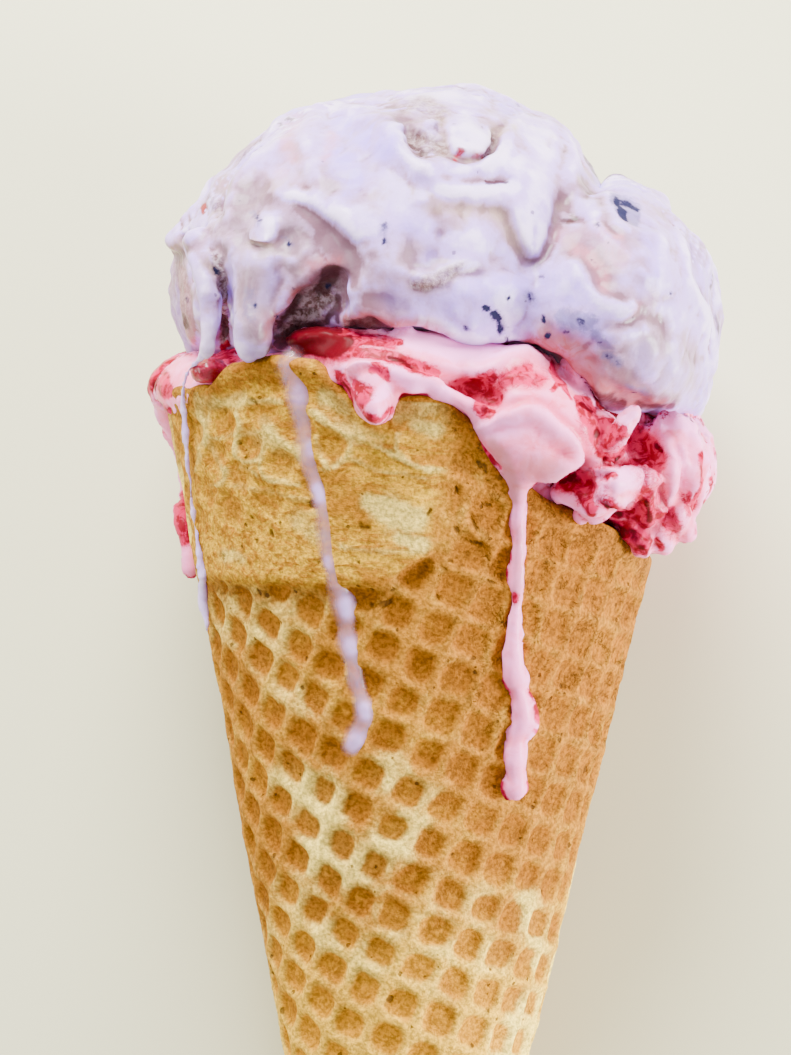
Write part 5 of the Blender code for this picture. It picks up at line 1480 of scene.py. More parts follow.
RIPPLE_PAINT = {
    "jam": (
        (1.3, 296, 352, 5, 306, 346, 8, 322, 345, 12, 338, 346, 12, 350, 346, 8),
        (1.0, 340, 337, 3, 352, 333, 2.5, 364, 335, 2, 378, 337, 2, 392, 339, 2),
        (0.8, 356, 342, 3, 374, 342, 3, 392, 342, 2),
        (1.6, 346, 350, 3, 368, 352, 3.5, 384, 355, 4, 400, 361, 4.5, 414, 365, 4.5, 430, 371, 3.5,
         440, 375, 2),
        (1.0, 376, 366, 3, 380, 372, 4.5, 384, 379, 3.5), (0.9, 372, 373, 3, 386, 372, 3),
        (0.9, 356, 384, 4, 366, 392, 7, 360, 402, 6, 352, 394, 4),
        (0.9, 343, 378, 2.5, 346, 388, 3, 352, 398, 3), (1.2, 404, 398, 3, 412, 400, 3.5, 424, 400, 3),
        (0.9, 384, 416, 3, 390, 410, 3), (1.1, 458, 386, 5, 472, 384, 7, 486, 381, 6, 492, 376, 3),
        (1.0, 470, 392, 6, 484, 394, 8, 494, 398, 6), (1.4, 477, 407, 3, 484, 412, 4.5, 491, 412, 3),
        (0.5, 498, 386, 7, 516, 378, 8, 540, 378, 8), (0.7, 500, 376, 3, 514, 372, 3, 530, 369, 2),
        (1.1, 549, 369, 2, 554, 376, 2.5, 560, 381, 3.5, 567, 392, 2, 571, 399, 1.5),
        (0.9, 559, 382, 2.5, 552, 389, 1.5), (1.0, 580, 404, 2, 584, 410, 4, 592, 416, 3),
        (0.9, 584, 397, 2, 590, 404, 2.5, 595, 412, 2.5), (1.3, 591, 424, 3.5, 594, 432, 4.5, 597, 438, 3),
        (0.8, 606, 424, 3, 614, 428, 4, 606, 434, 4), (1.0, 622, 446, 2.5, 630, 436, 2.5, 636, 424, 1.5),
        (1.1, 600, 456, 3, 612, 460, 3.5, 620, 452, 3), (1.0, 626, 446, 5, 636, 444, 5),
        (1.3, 630, 436, 5, 642, 446, 8, 652, 460, 7), (1.0, 590, 412, 3, 596, 424, 5, 598, 436, 5),
        (0.8, 338, 374, 3, 342, 392, 4), (0.9, 366, 412, 3, 384, 420, 3),
        (0.7, 604, 470, 2, 622, 470, 1.6, 640, 474, 1.6), (0.9, 606, 480, 1.6, 614, 481, 1.6),
        (1.1, 560, 484, 3, 568, 478, 4, 578, 474, 4), (0.7, 580, 480, 5, 592, 488, 5),
        (1.1, 586, 494, 2.5, 589, 504, 3, 592, 514, 3),
        (1.3, 645, 496, 3.5, 650, 506, 5, 650, 518, 5, 645, 526, 4), (0.75, 630, 504, 4, 638, 506, 4),
        (0.9, 622, 524, 3, 632, 530, 4), (1.4, 634, 536, 5, 640, 546, 7, 644, 553, 4),
        (0.8, 672, 516, 4, 674, 526, 5), (1.0, 694, 496, 3, 692, 504, 3.5, 690, 508, 2),
        (0.8, 698, 456, 2, 700, 470, 3, 698, 486, 2.5), (0.6, 686, 488, 1.5, 688, 506, 2),
        (0.5, 682, 492, 2, 684, 515, 2), (0.9, 160, 372, 6, 166, 392, 5),
        (1.2, 182, 500, 8, 181, 520, 9, 184, 538, 7), (0.9, 222, 352, 6, 228, 346, 5),
        (0.9, 214, 358, 4, 232, 356, 5), (0.8, 516, 594, 3, 516, 600, 3),
        (1.2, 579, 397, 3, 586, 409, 5, 592, 424, 6.5, 596, 438, 5), (1.1, 600, 430, 5, 612, 428, 6),
        (1.2, 566, 484, 6, 580, 480, 8, 586, 496, 6, 592, 508, 4),
        (1.2, 612, 506, 4, 630, 512, 6, 645, 520, 7), (1.3, 630, 530, 8, 642, 544, 8),
        (1.2, 644, 488, 4, 648, 500, 7, 646, 516, 7), (1.1, 694, 490, 3, 693, 500, 4.5, 690, 508, 3),
        (0.9, 670, 508, 3.5, 675, 526, 5), (0.8, 616, 470, 3, 636, 466, 3, 656, 474, 3),
        (1.2, 636, 432, 4, 646, 446, 9, 652, 462, 8, 630, 466, 5),
        (1.2, 300, 338, 4, 330, 333, 5, 352, 336, 5, 380, 340, 4, 400, 344, 3),
        (0.6, 360, 340, 1.5, 380, 344, 1.5, 396, 350, 1.5), (1.1, 612, 524, 5, 628, 534, 8, 642, 548, 8),
        (1.3, 556, 486, 4, 570, 480, 8, 582, 486, 8, 588, 500, 5), (1.0, 649, 415, 4, 664, 413, 4),
        (1.1, 606, 500, 5, 618, 512, 6), (0.8, 656, 540, 3, 662, 548, 3), (1.0, 640, 500, 8, 650, 516, 8),
        (1.0, 660, 516, 5, 668, 524, 5), (0.8, 596, 440, 4, 600, 452, 3),
        (0.32, 588, 424, 12, 606, 444, 14, 640, 470, 14, 652, 500, 14, 640, 540, 14),
        (0.3, 660, 500, 10, 672, 530, 12), (0.25, 600, 470, 10, 600, 500, 10),
        (0.9, 604, 446, 3, 614, 438, 3, 624, 426, 2), (1.1, 634, 438, 4, 646, 428, 4, 650, 416, 3),
        (0.9, 606, 438, 4, 612, 430, 3), (1.2, 602, 426, 5, 612, 427, 5, 606, 434, 5),
        (1.3, 286, 342, 6, 302, 333, 7, 322, 330, 6, 342, 329, 5),
    ),
    # Thick dark jam, and painted shade, nearly black, in the gaps under the lobe, by the spike and under the
    # hanging lumps.
    "deep_jam_and_shade": (
        (1.0, 306, 350, 6, 322, 347, 8, 338, 346, 8), (0.8, 336, 338, 3, 352, 335, 2.5),
        (0.9, 388, 357, 2, 400, 361, 2.5, 412, 366, 2), (1.2, 602, 402, 5, 609, 411, 5),
        (1.0, 647, 412, 3, 654, 414, 3.5), (0.9, 684, 414, 2, 688, 424, 2),
        (0.9, 400, 399, 3, 422, 401, 2.5), (0.8, 582, 402, 2, 592, 412, 2.5),
        (0.8, 595, 432, 3, 597, 436, 3), (0.8, 648, 502, 3, 650, 518, 3.5), (0.4, 638, 542, 5, 642, 550, 4),
        (0.9, 562, 482, 3, 574, 476, 3), (0.9, 608, 462, 2, 618, 456, 2), (0.8, 656, 446, 3, 660, 450, 3),
        (0.6, 482, 411, 3, 488, 413, 3), (0.6, 343, 384, 2, 350, 396, 2),
        (1.2, 290, 351, 5, 306, 346, 9, 325, 343, 10, 342, 342, 7), (0.8, 598, 408, 3, 610, 414, 4),
        (0.9, 606, 520, 5, 620, 532, 6), (1.1, 600, 400, 5, 610, 409, 5),
        (0.35, 636, 440, 4, 648, 456, 5, 632, 462, 4), (0.6, 566, 482, 5, 576, 480, 5),
        (1.2, 582, 376, 2.5, 592, 388, 3.5, 602, 400, 5.5, 610, 412, 5), (0.6, 632, 534, 6, 642, 548, 5),
        (1.2, 318, 350, 8, 338, 348, 8, 348, 340, 6), (0.5, 641, 434, 4, 649, 421, 3),
        (0.8, 608, 506, 4, 620, 514, 5), (1.2, 601, 408, 3.5, 608, 414, 4, 613, 418, 3),
        (1.3, 286, 340, 6, 302, 332, 6, 322, 329, 5, 338, 328, 4),
    ),
    "milk_and_light": (
        (0.9, 396, 372, 8, 420, 384, 10, 446, 396, 7), (0.9, 372, 400, 6, 384, 392, 7),
        (0.8, 340, 372, 4, 348, 364, 4), (0.7, 350, 374, 4, 362, 378, 4),
        (1.0, 400, 338, 10, 450, 350, 14, 500, 352, 12, 545, 352, 10), (1.1, 380, 330, 4, 408, 330, 4),
        (0.7, 470, 425, 8, 500, 430, 14, 520, 420, 12), (1.0, 616, 482, 8, 640, 480, 8),
        (1.0, 662, 425, 6, 680, 425, 8, 700, 440, 8, 712, 465, 6), (0.6, 676, 455, 10, 680, 480, 8),
        (1.1, 602, 472, 4, 604, 486, 5, 598, 500, 4), (0.9, 548, 494, 5, 566, 504, 7, 590, 516, 5),
        (1.2, 562, 373, 5, 576, 382, 5, 588, 394, 5, 598, 410, 4), (1.1, 624, 420, 4, 634, 414, 4),
        (0.8, 655, 545, 6, 672, 546, 6), (1.1, 650, 427, 5, 660, 418, 5, 672, 415, 5),
        (1.0, 680, 420, 4, 692, 417, 5),
    ),
    "crumb": (
        (1.0, 380, 329, 5, 408, 330, 5), (0.8, 566, 366, 4, 580, 378, 4, 590, 392, 3),
        (0.6, 600, 476, 4, 604, 496, 4), (0.9, 652, 424, 6, 668, 416, 6, 690, 412, 6),
        (0.5, 650, 426, 5, 662, 430, 5), (1.0, 650, 426, 5, 662, 417, 6, 674, 414, 5, 692, 417, 6),
    ),
    # Painted shade on the drip's left side, where it turns under, and down its thread.
    "shade": (
        (1.0, 494, 442, 6, 505, 464, 8, 513, 484, 8, 516, 500, 5), (0.7, 528, 468, 12, 556, 470, 10),
        (0.6, 520, 530, 5, 518, 600, 5), (0.5, 476, 424, 5, 486, 440, 5),
    ),
}
CONE_PAINT = {
    "ghost": (
        (1.0, 205, 430, 36, 260, 440, 36, 330, 440, 30), (0.7, 220, 500, 30, 300, 490, 24),
        (0.9, 490, 500, 26, 505, 560, 26), (0.5, 380, 460, 22, 450, 470, 22),
    ),
    "milky": (
        (1.0, 368, 502, 8, 392, 512, 13, 414, 522, 12), (0.9, 400, 538, 6, 424, 545, 7),
        (0.6, 262, 440, 10, 300, 452, 9), (1.0, 326, 398, 9, 342, 408, 8),
        (0.9, 400, 412, 12, 440, 402, 12, 452, 420, 8), (0.6, 345, 430, 14, 380, 440, 10),
        (0.7, 206, 404, 8, 240, 400, 8), (0.6, 225, 556, 8, 240, 560, 6), (0.5, 300, 520, 12, 316, 540, 8),
        (0.8, 196, 396, 5, 204, 440, 6), (1.2, 424, 408, 8, 440, 398, 9, 452, 412, 9, 462, 424, 7),
        (0.9, 414, 424, 8, 436, 432, 8),
    ),
    "pale": (
        (0.35, 262, 660, 20, 300, 700, 22), (0.6, 225, 600, 18, 275, 602, 16, 320, 606, 12),
        (0.5, 222, 632, 14, 296, 640, 14), (0.65, 320, 830, 26, 355, 866, 26, 412, 826, 22),
        (0.8, 290, 780, 20, 318, 800, 24, 316, 860, 22), (0.5, 296, 890, 20, 318, 940, 18),
        (0.5, 490, 960, 18), (0.5, 380, 770, 18, 430, 800, 20), (0.3, 260, 620, 14, 300, 622, 12),
        (0.7, 530, 900, 12, 540, 960, 12), (0.3, 400, 930, 30, 470, 900, 24),
    ),
    "web": (
        (1.0, 200, 404, 3, 222, 401, 3, 250, 402, 3, 282, 401, 3),
        (0.9, 207, 410, 3, 208, 440, 3, 213, 456, 3, 226, 470, 3),
        (0.9, 212, 440, 2.5, 228, 436, 2.5, 240, 428, 3, 236, 412, 2.5),
        (1.0, 236, 452, 2.5, 236, 440, 2.5, 246, 433, 2.5, 260, 438, 3, 262, 452, 2.5, 250, 463, 2.5,
         236, 456, 2.5),
        (1.1, 262, 420, 5, 274, 436, 6, 288, 446, 5, 300, 453, 3),
        (0.9, 264, 456, 2.5, 260, 466, 2.5, 266, 478, 3, 280, 481, 3, 300, 484, 2.5),
        (0.8, 226, 470, 2.5, 224, 482, 2.5, 210, 486, 2.5), (0.8, 240, 466, 2.5, 258, 476, 2.5),
        (1.0, 312, 412, 4, 330, 424, 4, 348, 434, 4, 362, 434, 3),
        (0.9, 352, 444, 3, 346, 456, 3, 334, 466, 3, 318, 470, 2.5),
        (1.0, 362, 438, 3, 382, 449, 3, 404, 460, 3, 426, 468, 3, 442, 470, 2),
        (0.7, 346, 456, 2.5, 372, 468, 2.5, 402, 473, 2.5, 426, 478, 2),
        (0.8, 318, 436, 2.5, 320, 452, 2.5, 328, 466, 2.5),
        (0.8, 398, 434, 2.5, 396, 448, 2.5, 404, 458, 2.5), (0.7, 448, 470, 2, 470, 462, 2),
        (0.6, 230, 486, 3, 270, 492, 3, 310, 500, 3), (0.7, 340, 546, 2.5, 380, 552, 2.5, 420, 552, 2.5),
        (0.6, 468, 528, 2, 484, 544, 2.5, 498, 548, 2), (0.6, 190, 434, 2.5, 200, 452, 2.5, 196, 470, 2.5),
        (0.8, 300, 512, 3, 314, 514, 4, 322, 510, 3),
    ),
    "pits": (
        (1.0, 252, 400, 2, 255, 404, 2), (0.9, 238, 442, 1.6, 239, 444, 1.6),
        (0.9, 246, 457, 1.4, 247, 458, 1.4), (1.1, 271, 530, 1.6, 272, 535, 1.6),
        (0.8, 360, 526, 3, 368, 528, 3), (1.0, 426, 516, 2, 430, 511, 2), (1.2, 311, 504, 3, 316, 505, 3),
        (1.1, 456, 528, 2, 459, 533, 2), (1.2, 479, 466, 2.4, 485, 469, 2.4),
        (1.0, 457, 488, 1.6, 458, 494, 1.6), (1.1, 382, 605, 3.4, 389, 602, 2.6),
        (0.9, 372, 605, 2, 373, 606, 2), (0.9, 257, 590, 1.6, 260, 594, 1.6),
        (0.8, 484, 505, 2, 494, 508, 1.4), (0.8, 473, 520, 1.6, 478, 530, 2),
        (0.8, 466, 541, 2, 474, 543, 2, 484, 546, 1.6), (0.7, 448, 560, 2, 452, 562, 2),
        (0.7, 486, 556, 2, 489, 560, 2), (0.7, 440, 566, 2, 446, 570, 2), (0.7, 488, 580, 2, 496, 584, 1.6),
        (0.7, 222, 409, 1.4, 223, 412, 1.4), (0.6, 268, 612, 1.6, 269, 614, 1.6),
        (0.6, 222, 556, 1.4, 222, 560, 1.4), (0.7, 250, 516, 1.2, 251, 520, 1.2),
        (0.8, 437, 597, 1.6, 439, 600, 1.6),
    ),
}
RIM_BROWN = (0.6, 218, 374, 10, 246, 366, 9, 290, 364, 9, 322, 368, 8, 334, 380, 7)


def mauve_material(look):
    """The thin run, which lets the cone show through where it is thin."""
    material, n, shader = new_material("mauve melt", Subsurface_Weight=0.2, Subsurface_Scale=0.002,
                                       Coat_Weight=0.4, Coat_Roughness=0.1)
    place, milky = n.place(), n.mask("milky")
    cloud = n.noise(place, 1.6, 4.0, 0.6, 0.4)
    colour = n.mix(n.stretch(cloud, 0.40, 0.70), look.mauve, look.mauve_pale)
    colour = n.mix(milky, colour, look.lilac_pale)
    feed(n, shader, colour, n.stretch(cloud, 0, 1, 0.2, 0.4), cloud, 0.5, 0.3)
    film = n.noise(n.vector("MULTIPLY", place, (1.0, 0.5, 1.0)), 3.5, 3.0, 0.6, 0.6)
    cover = n.plus(n.mask("middle"), n.times(n.minus(film, 0.5), 0.9))
    cover = n.plus(n.stretch(cover, 0.10, 1.25, 0.0, 0.56), n.times(milky, 0.22))
    n.tree.links.new(cover, shader.inputs["Alpha"])
    return material


def berry_material(look):
    material, n, shader = new_material(
        "wet berry", Coat_Weight=0.3, Coat_Roughness=0.12, Subsurface_Weight=0.15, Subsurface_Scale=0.002,
        Specular_IOR_Level=0.25)
    cloud = n.noise(n.place(), 1.3, 3.0, 0.6)
    colour = n.mix(n.stretch(cloud, 0.42, 0.7), look.jam, look.jam_bright)
    feed(n, shader, colour, n.stretch(cloud, 0, 1, 0.2, 0.4), cloud, 0.3, 0.2)
    return material


def floor_material(look):
    material, n, shader = new_material("pale floor", Specular_IOR_Level=0.2)
    place = n.place()
    soft = n.noise(place, 160.0, 2.0, 0.5)
    shade = n.mix(n.stretch(soft, 0.3, 0.7), look.floor, [0.94 * c for c in look.floor])
    feed(n, shader, shade, n.stretch(soft, 0, 1, 0.75, 0.85), n.noise(place, 1.2, 2.0), 0.05, 0.1)
    return material


def trim(field, edge_table, soft):
    """Cuts away what hangs below a scoop's lower edge, and rounds the edge."""
    x, y, z = field.whole()
    edge = between(np.degrees(np.arctan2(x, z)), edge_table).astype(np.float32)
    field.cut(..., y - edge, soft)


def off_the_floor(field):
    """Flattens what would reach below the floor."""
    x, y, z = field.whole()
    above = y * sin(HALF_ANGLE) + z * cos(HALF_ANGLE) + APEX_PLACE[2] - 0.05
    field.cut(..., above + 0 * x, 0.8)


def run_points(stations):
    """Points and half widths along melt that is placed on the cone."""
    rows = smooth_line([(s[0] * 0.55, s[1], s[0], s[2], s[3]) for s in stations], 0.9)
    return on_cone(rows[:, 2], rows[:, 1], rows[:, 3]), rows[:, 4]


def seen_run(stations, lift=0.0, widen=0.86):
    """A run that the photograph shows; its middle lies out of the cone by a share of its half width, or as
    far as the stations' fourth numbers say, in mm."""
    rows = smooth_line(stations, 4.0)
    half = widen * rows[:, 2] / (PIXELS_PER_MM * 1.04)
    return sight_on_cone(rows[:, :2], rows[:, 3] if rows.shape[1] > 3 else lift * half), half


def wrinkled(surface, height):
    """Broad swells, which are weaker where the photograph shows the surface."""
    surface.push(height * fractal(surface.points, 11.0) * (1 - 0.6 * surface.shown))


def draped(surface, height, size=13.0):
    """Rounded folds of melt, with narrow valleys between them, on the sides that the photograph hides."""
    folds = np.abs(fractal(surface.points * (1.0, 0.55, 1.0), size, 58, 2))
    surface.push(height * (ramp(folds, 0.0, 0.22) - 0.7) * (1 - surface.shown))


def huckleberry_surface(pitch):
    """The upper scoop: its body, what is painted on it, and its relief."""
    field = Field(*HUCKLEBERRY_ROOM, pitch)
    for lump in HUCKLEBERRY_LUMPS:
        field.lump(lump, 2.6)
    field.lump(RIGHT_VALLEY, 1.2, keep=False)
    for fold in HUCKLEBERRY_FOLDS.values():
        field.fold(fold)
    for groove in HUCKLEBERRY_GROOVES.values():
        field.fold(groove, keep=False)
    field.lump(LEFT_BULB, 0.8)
    trim(field, HUCKLEBERRY_EDGE, 3.0)
    field.roll(*run_points(BROAD_DRIP), 1.4)
    field.roll(*seen_run(LEFT_DRIP, widen=1.0), 0.9)
    field.fold(HUCKLEBERRY_GROOVES["gap between the columns"], keep=False)
    for crumb in HOLLOW_CRUMBS:
        field.fold(Fold(crumb, 0.4))
    off_the_floor(field)
    surface = surface_of(field, 2)
    surface.nudge(NUDGES)
    for name, brushes in HUCKLEBERRY_PAINT.items():
        surface.masks[name] = surface.painted(brushes)
    # The lips also give the places under them, which the material darkens as painted shade.
    layers, surface.masks["under"] = surface.lips(HUCKLEBERRY_LIPS, 3.6)
    unseen = 1 - surface.shown
    p = surface.points
    # Painted shade on the far left side, which faces away: darker and redder, with some crumbs.
    side = ramp(-p[:, 0], 29.5, 33.5) * (1 - ramp(p[:, 1], 183, 188)) * unseen
    surface.spread("flush", 0.35 * side)
    # On the hidden sides: random streaks of whitish and violet melt, random mauve clouds, fruit marks and
    # crumbs.
    streaks = p * (1.0, 2.6, 1.0)
    surface.spread("white_and_light", unseen * ramp(fractal(streaks, 12, 3), -0.1, 0.5))
    surface.spread("violet", unseen * 0.9 * ramp(fractal(streaks, 14, 6), 0.05, 0.5))
    surface.spread("mauve_shade", unseen * 0.5 * ramp(fractal(p * (1, 1.6, 1), 12, 8), 0.1, 0.55))
    surface.spread("stain_and_shade", unseen * 0.7 * ramp(fractal(p, 9, 9), 0.62, 0.9))
    surface.spread("crumb", unseen * 0.6 * ramp(fractal(p, 13, 12), 0.5, 0.75))
    surface.spread("mauve_shade", 0.4 * side)
    surface.spread("crumb", 0.3 * side)
    wrinkled(surface, 1.1)
    draped(surface, 0.8, 17.0)
    surface.push(surface.relief(HUCKLEBERRY_RELIEF) + layers)
    surface.points = relax(surface.points, surface.quads, 3)
    crumb = surface.masks["crumb"]
    surface.push(crumb * (0.60 * fractal(p, 2.2, 21) + 0.10))
    puffs = np.abs(fractal(p * (1.0, 0.8, 1.0), 7.5, 51)) - 0.25
    melt = 0.60 * puffs * (1 - 0.6 * surface.masks["white_and_light"]) + 0.06 * fractal(p, 2.4, 23)
    surface.push((1 - crumb) * melt)
    surface.refresh()
    surface.mark_shaded_hollows_and_lit_crests()
    m = surface.masks
    # The tone: random clouds, with painted light on the crests and whitish folds and painted shade in the
    # hollows, the mauve shade, under the lips and in the greyish places.
    clouds = 0.22 * fractal(p * (1.0, 1.5, 1.0), 9, 71) + 0.14 * fractal(p, 3.4, 73)
    light = 0.57 + clouds + 0.30 * m["crest"] + 0.34 * m["white_and_light"] - 0.46 * m["hollow"]
    m["tone"] = light - 0.60 * m["mauve_shade"] - 0.35 * m["under"] - 0.25 * m["grey_shade"]
    return surface


def ripple_surface(pitch):
    """The lower scoop: its body with the plug in the cone's mouth, what is painted on it, and its relief."""
    field = Field(*RIPPLE_ROOM, pitch)
    for lump in RIPPLE_LUMPS:
        field.lump(lump, 2.0)
    for fold in RIPPLE_FOLDS.values():
        field.fold(fold)
    for groove in RIPPLE_GROOVES.values():
        field.fold(groove, keep=False)
    finger = smooth_line(FINGER, 5.0)
    root = field.hits(finger[:1, :2])[0, 2]
    field.roll(along_sight(finger[:, :2], root + finger[:, 3]), finger[:, 2], 0.5)
    x, y, z = field.whole()
    turn = np.degrees(np.arctan2(x, z)) + 0 * y
    radius = np.hypot(x, z) + 0 * y
    inner = ((radius - outer_radius(turn, y + 0 * turn) + WALL) * cos(HALF_ANGLE)).astype(np.float32)
    plug = np.maximum(np.maximum(inner, y - 166.0), MOUTH_FLOOR_Y + 0.4 - y)
    edge = between(turn, RIPPLE_EDGE).astype(np.float32) - y
    field.cut(..., -np.minimum(edge, inner), 2.0)
    field.add(..., plug, 0.6)
    field.roll(*run_points(SIDE_DROPS), 0.7)
    field.roll(*seen_run(PINK_DRIP, 0.12), 0.35)
    off_the_floor(field)
    surface = surface_of(field, 3)
    for name, brushes in RIPPLE_PAINT.items():
        surface.masks[name] = surface.painted(brushes, 2.2)
    # The places under the lips are darkened in the material as painted shade.
    layers, surface.masks["under"] = surface.lips(RIPPLE_LIPS)
    unseen = 1 - surface.shown
    p = surface.points
    streaks = p * (1.0, 1.8, 1.0)
    swirl = p * (0.7, 1.9, 0.7) + 2.5 * np.stack([fractal(p, 11, seed) for seed in (81, 83, 87)], 1)
    bands = 0.95 * ramp(fractal(swirl, 8, 2), 0.12, 0.4)
    threads = 0.55 * ramp(np.abs(fractal(swirl, 6, 3)), 0.05, 0.0)
    surface.spread("jam", unseen * np.maximum(bands, threads))
    surface.spread("deep_jam_and_shade", unseen * 0.8 * ramp(fractal(p, 7, 5), 0.5, 0.8))
    surface.spread("milk_and_light", unseen * ramp(fractal(streaks, 10, 7), 0.0, 0.6))
    surface.spread("crumb", unseen * ramp(fractal(p, 12, 12), 0.4, 0.7))
    wrinkled(surface, 1.0)
    draped(surface, 0.9, 9.0)
    surface.push(surface.relief(RIPPLE_RELIEF) + layers)
    ragged = ramp(surface.px, 575, 600) * ramp(surface.py, 385, 400) * surface.shown
    surface.push(0.35 * ragged * fractal(p, 2.6, 31) + surface.masks["crumb"] * 0.40 * fractal(p, 1.7, 33))
    surface.push(0.35 * (np.abs(fractal(p, 6.0, 61)) - 0.25) * (1 - surface.masks["milk_and_light"] * 0.5))
    surface.refresh()
    surface.mark_shaded_hollows_and_lit_crests()
    return surface


def piece_from(surface, name, material):
    """An object with a surface's mesh and masks."""
    mesh = mesh_of(name, lie_down(surface.points), surface.quads)
    for mask, values in surface.masks.items():
        store(mesh, mask, values)
    mesh.materials.append(material)
    return piece_of(name, mesh)


def tone(name, description, colour):
    return FloatVectorProperty(name=name, description=description, subtype="COLOR", size=3, min=0, max=1,
                               default=colour)


def length(name, description, default, least):
    """A length that a user sees in mm."""
    return FloatProperty(name=name, description=description + ", in mm", default=default, min=least)


class ConeSizes(bpy.types.PropertyGroup):
    spacing: length("Point spacing", "Distance between the cone's points", 0.5, 0.3)
    pitch: length("Pocket pitch", "Distance from pocket to pocket", 5.42, 2.0)
    turn: FloatProperty(name="Grid turn", description="How the grid is turned on the flat sheet",
                        default=radians(-21.5), subtype="ANGLE", unit="ROTATION")
    rib: length("Rib width", "Width of the ribs between pockets", 1.55, 0.2)
    depth: length("Pocket depth", "How deep the pockets are pressed", 0.85, 0.0)


class ScoopSizes(bpy.types.PropertyGroup):
    upper_grid: length("Upper scoop's grid", "Finest detail of the upper scoop", 0.485, 0.25)
    lower_grid: length("Lower scoop's grid", "Finest detail of the lower scoop", 0.455, 0.25)
    run_grid: length("Run's grid", "Finest detail of the mauve run", 0.3, 0.15)


class Finishes(bpy.types.PropertyGroup):
    rib: tone("Rib", "Waffle ribs", (0.66, 0.37, 0.032))
    rib_brown: tone("Browned rib", "Waffle ribs where they browned", (0.38, 0.155, 0.012))
    rib_white: tone("Pale rib", "Waffle ribs that stayed pale", (0.86, 0.63, 0.13))
    pocket: tone("Pocket", "Floors of the waffle's pockets", (0.5, 0.21, 0.007))
    pocket_brown: tone("Browned pocket", "Pocket floors where they browned", (0.25, 0.085, 0.005))
    toast: tone("Toasted", "Evenly toasted waffle", (0.36, 0.12, 0.008))
    toast_dark: tone("Dark toasted", "Darker clouds of the toasted waffle", (0.18, 0.055, 0.005))
    smear: tone("Cuff", "The ironed-out cuff", (0.62, 0.34, 0.02))
    smear_brown: tone("Browned cuff", "Browned streaks of the cuff", (0.34, 0.135, 0.008))
    smear_pale: tone("Pale cuff", "Pale patches of the cuff", (0.66, 0.47, 0.1))
    # Also painted shade: this colour darkens the strip below the cuff's crease.
    browned_and_crease_shade: tone("Browned edge", "Rim and crease", (0.2, 0.065, 0.006))
    pore: tone("Pore", "Small holes in the waffle", (0.050, 0.020, 0.005))
    lilac: tone("Lilac", "Huckleberry ice cream", (0.47, 0.3, 0.76))
    lilac_pale: tone("Pale lilac", "Paler huckleberry ice cream", (0.64, 0.42, 0.9))
    # Whitish melt, also laid as painted light on lit folds and where a shadow falls.
    white_and_light: tone("White melt", "Creamy melted folds", (0.7, 0.56, 0.9))
    violet: tone("Violet", "More strongly tinted folds", (0.37, 0.23, 0.84))
    # Painted shade: the underside over the pink, the cavity and the far left face.
    flush: tone("Flush", "Upper scoop's underside by the ripple", (0.34, 0.085, 0.11))
    # Rosy tint, and painted shade along the lower edges.
    rose_and_shade: tone("Rose", "Rosy shade on the upper scoop", (0.52, 0.19, 0.29))
    # Painted shade: mauve in the valleys and under folds.
    mauve_shade: tone("Dusk", "Mauve in the valleys", (0.18, 0.085, 0.125))
    # Painted shade: warm tan under the whitish folds.
    beige_shade: tone("Beige", "Warm undersides of the white folds", (0.42, 0.29, 0.24))
    crumb: tone("Torn ice cream", "Light side of torn, crumbly ice cream", (0.44, 0.32, 0.37))
    crumb_dark: tone("Torn ice cream, dark", "Dark side of torn, crumbly ice cream", (0.13, 0.06, 0.055))
    # Painted shade in gaps and the cavity, and fruit marks.
    stain_and_shade: tone("Berry stain", "Ice cream stained by fruit", (0.045, 0.008, 0.01))
    speck: tone("Speck", "Fruit specks", (0.07, 0.035, 0.08))
    berry_skin: tone("Berry skin", "Dark skins of the fruit", (0.008, 0.007, 0.04))
    pink: tone("Pink", "Ripple ice cream", (0.86, 0.16, 0.3))
    pink_pale: tone("Pale pink", "Paler ripple ice cream", (0.92, 0.24, 0.48))
    # Painted shade where the drip turns under.
    pink_shade: tone("Dull pink", "Ripple ice cream where the drip turns under", (0.42, 0.17, 0.17))
    # Milky ripple ice cream, also painted light on the crests.
    milk_and_light: tone("Milk", "Nearly white ripple ice cream", (0.96, 0.32, 0.7))
    # Pink next to the jam, and painted shade in the hollows and under lips.
    blush_and_shade: tone("Blush", "Ice cream next to the jam", (0.68, 0.045, 0.13))
    jam_bright: tone("Bright jam", "Thin raspberry jam", (0.56, 0.01, 0.085))
    jam: tone("Jam", "Raspberry jam", (0.24, 0.002, 0.016))
    # Thick jam, and painted shade in the gaps.
    jam_deep_and_shade: tone("Deep jam", "Thick or dark jam", (0.085, 0.0012, 0.005))
    bruise: tone("Bruise", "Blue violet stain round the dark skins", (0.11, 0.09, 0.24))
    mauve_pale: tone("Pale mauve", "Mauve clouds of the upper scoop", (0.36, 0.21, 0.36))
    # Painted shade: the duller left side and lower right lobe.
    grey_shade: tone("Grey white", "Upper scoop's duller left side", (0.36, 0.25, 0.33))
    mauve: tone("Mauve", "The thin run on the cone", (0.52, 0.22, 0.25))
    floor: tone("Floor", "The floor", (0.66, 0.65, 0.43))


class StageSizes(bpy.types.PropertyGroup):
    key: FloatProperty(name="Key light", description="Power of the main soft light", default=15.0, min=0,
                       unit="POWER")
    fill: FloatProperty(name="Fill light", description="Power that the side lights take their shares of",
                        default=4.8, min=0, unit="POWER")
    sky: FloatProperty(name="Surrounding light", description="Strength of the light from all round",
                       default=1.15, min=0)


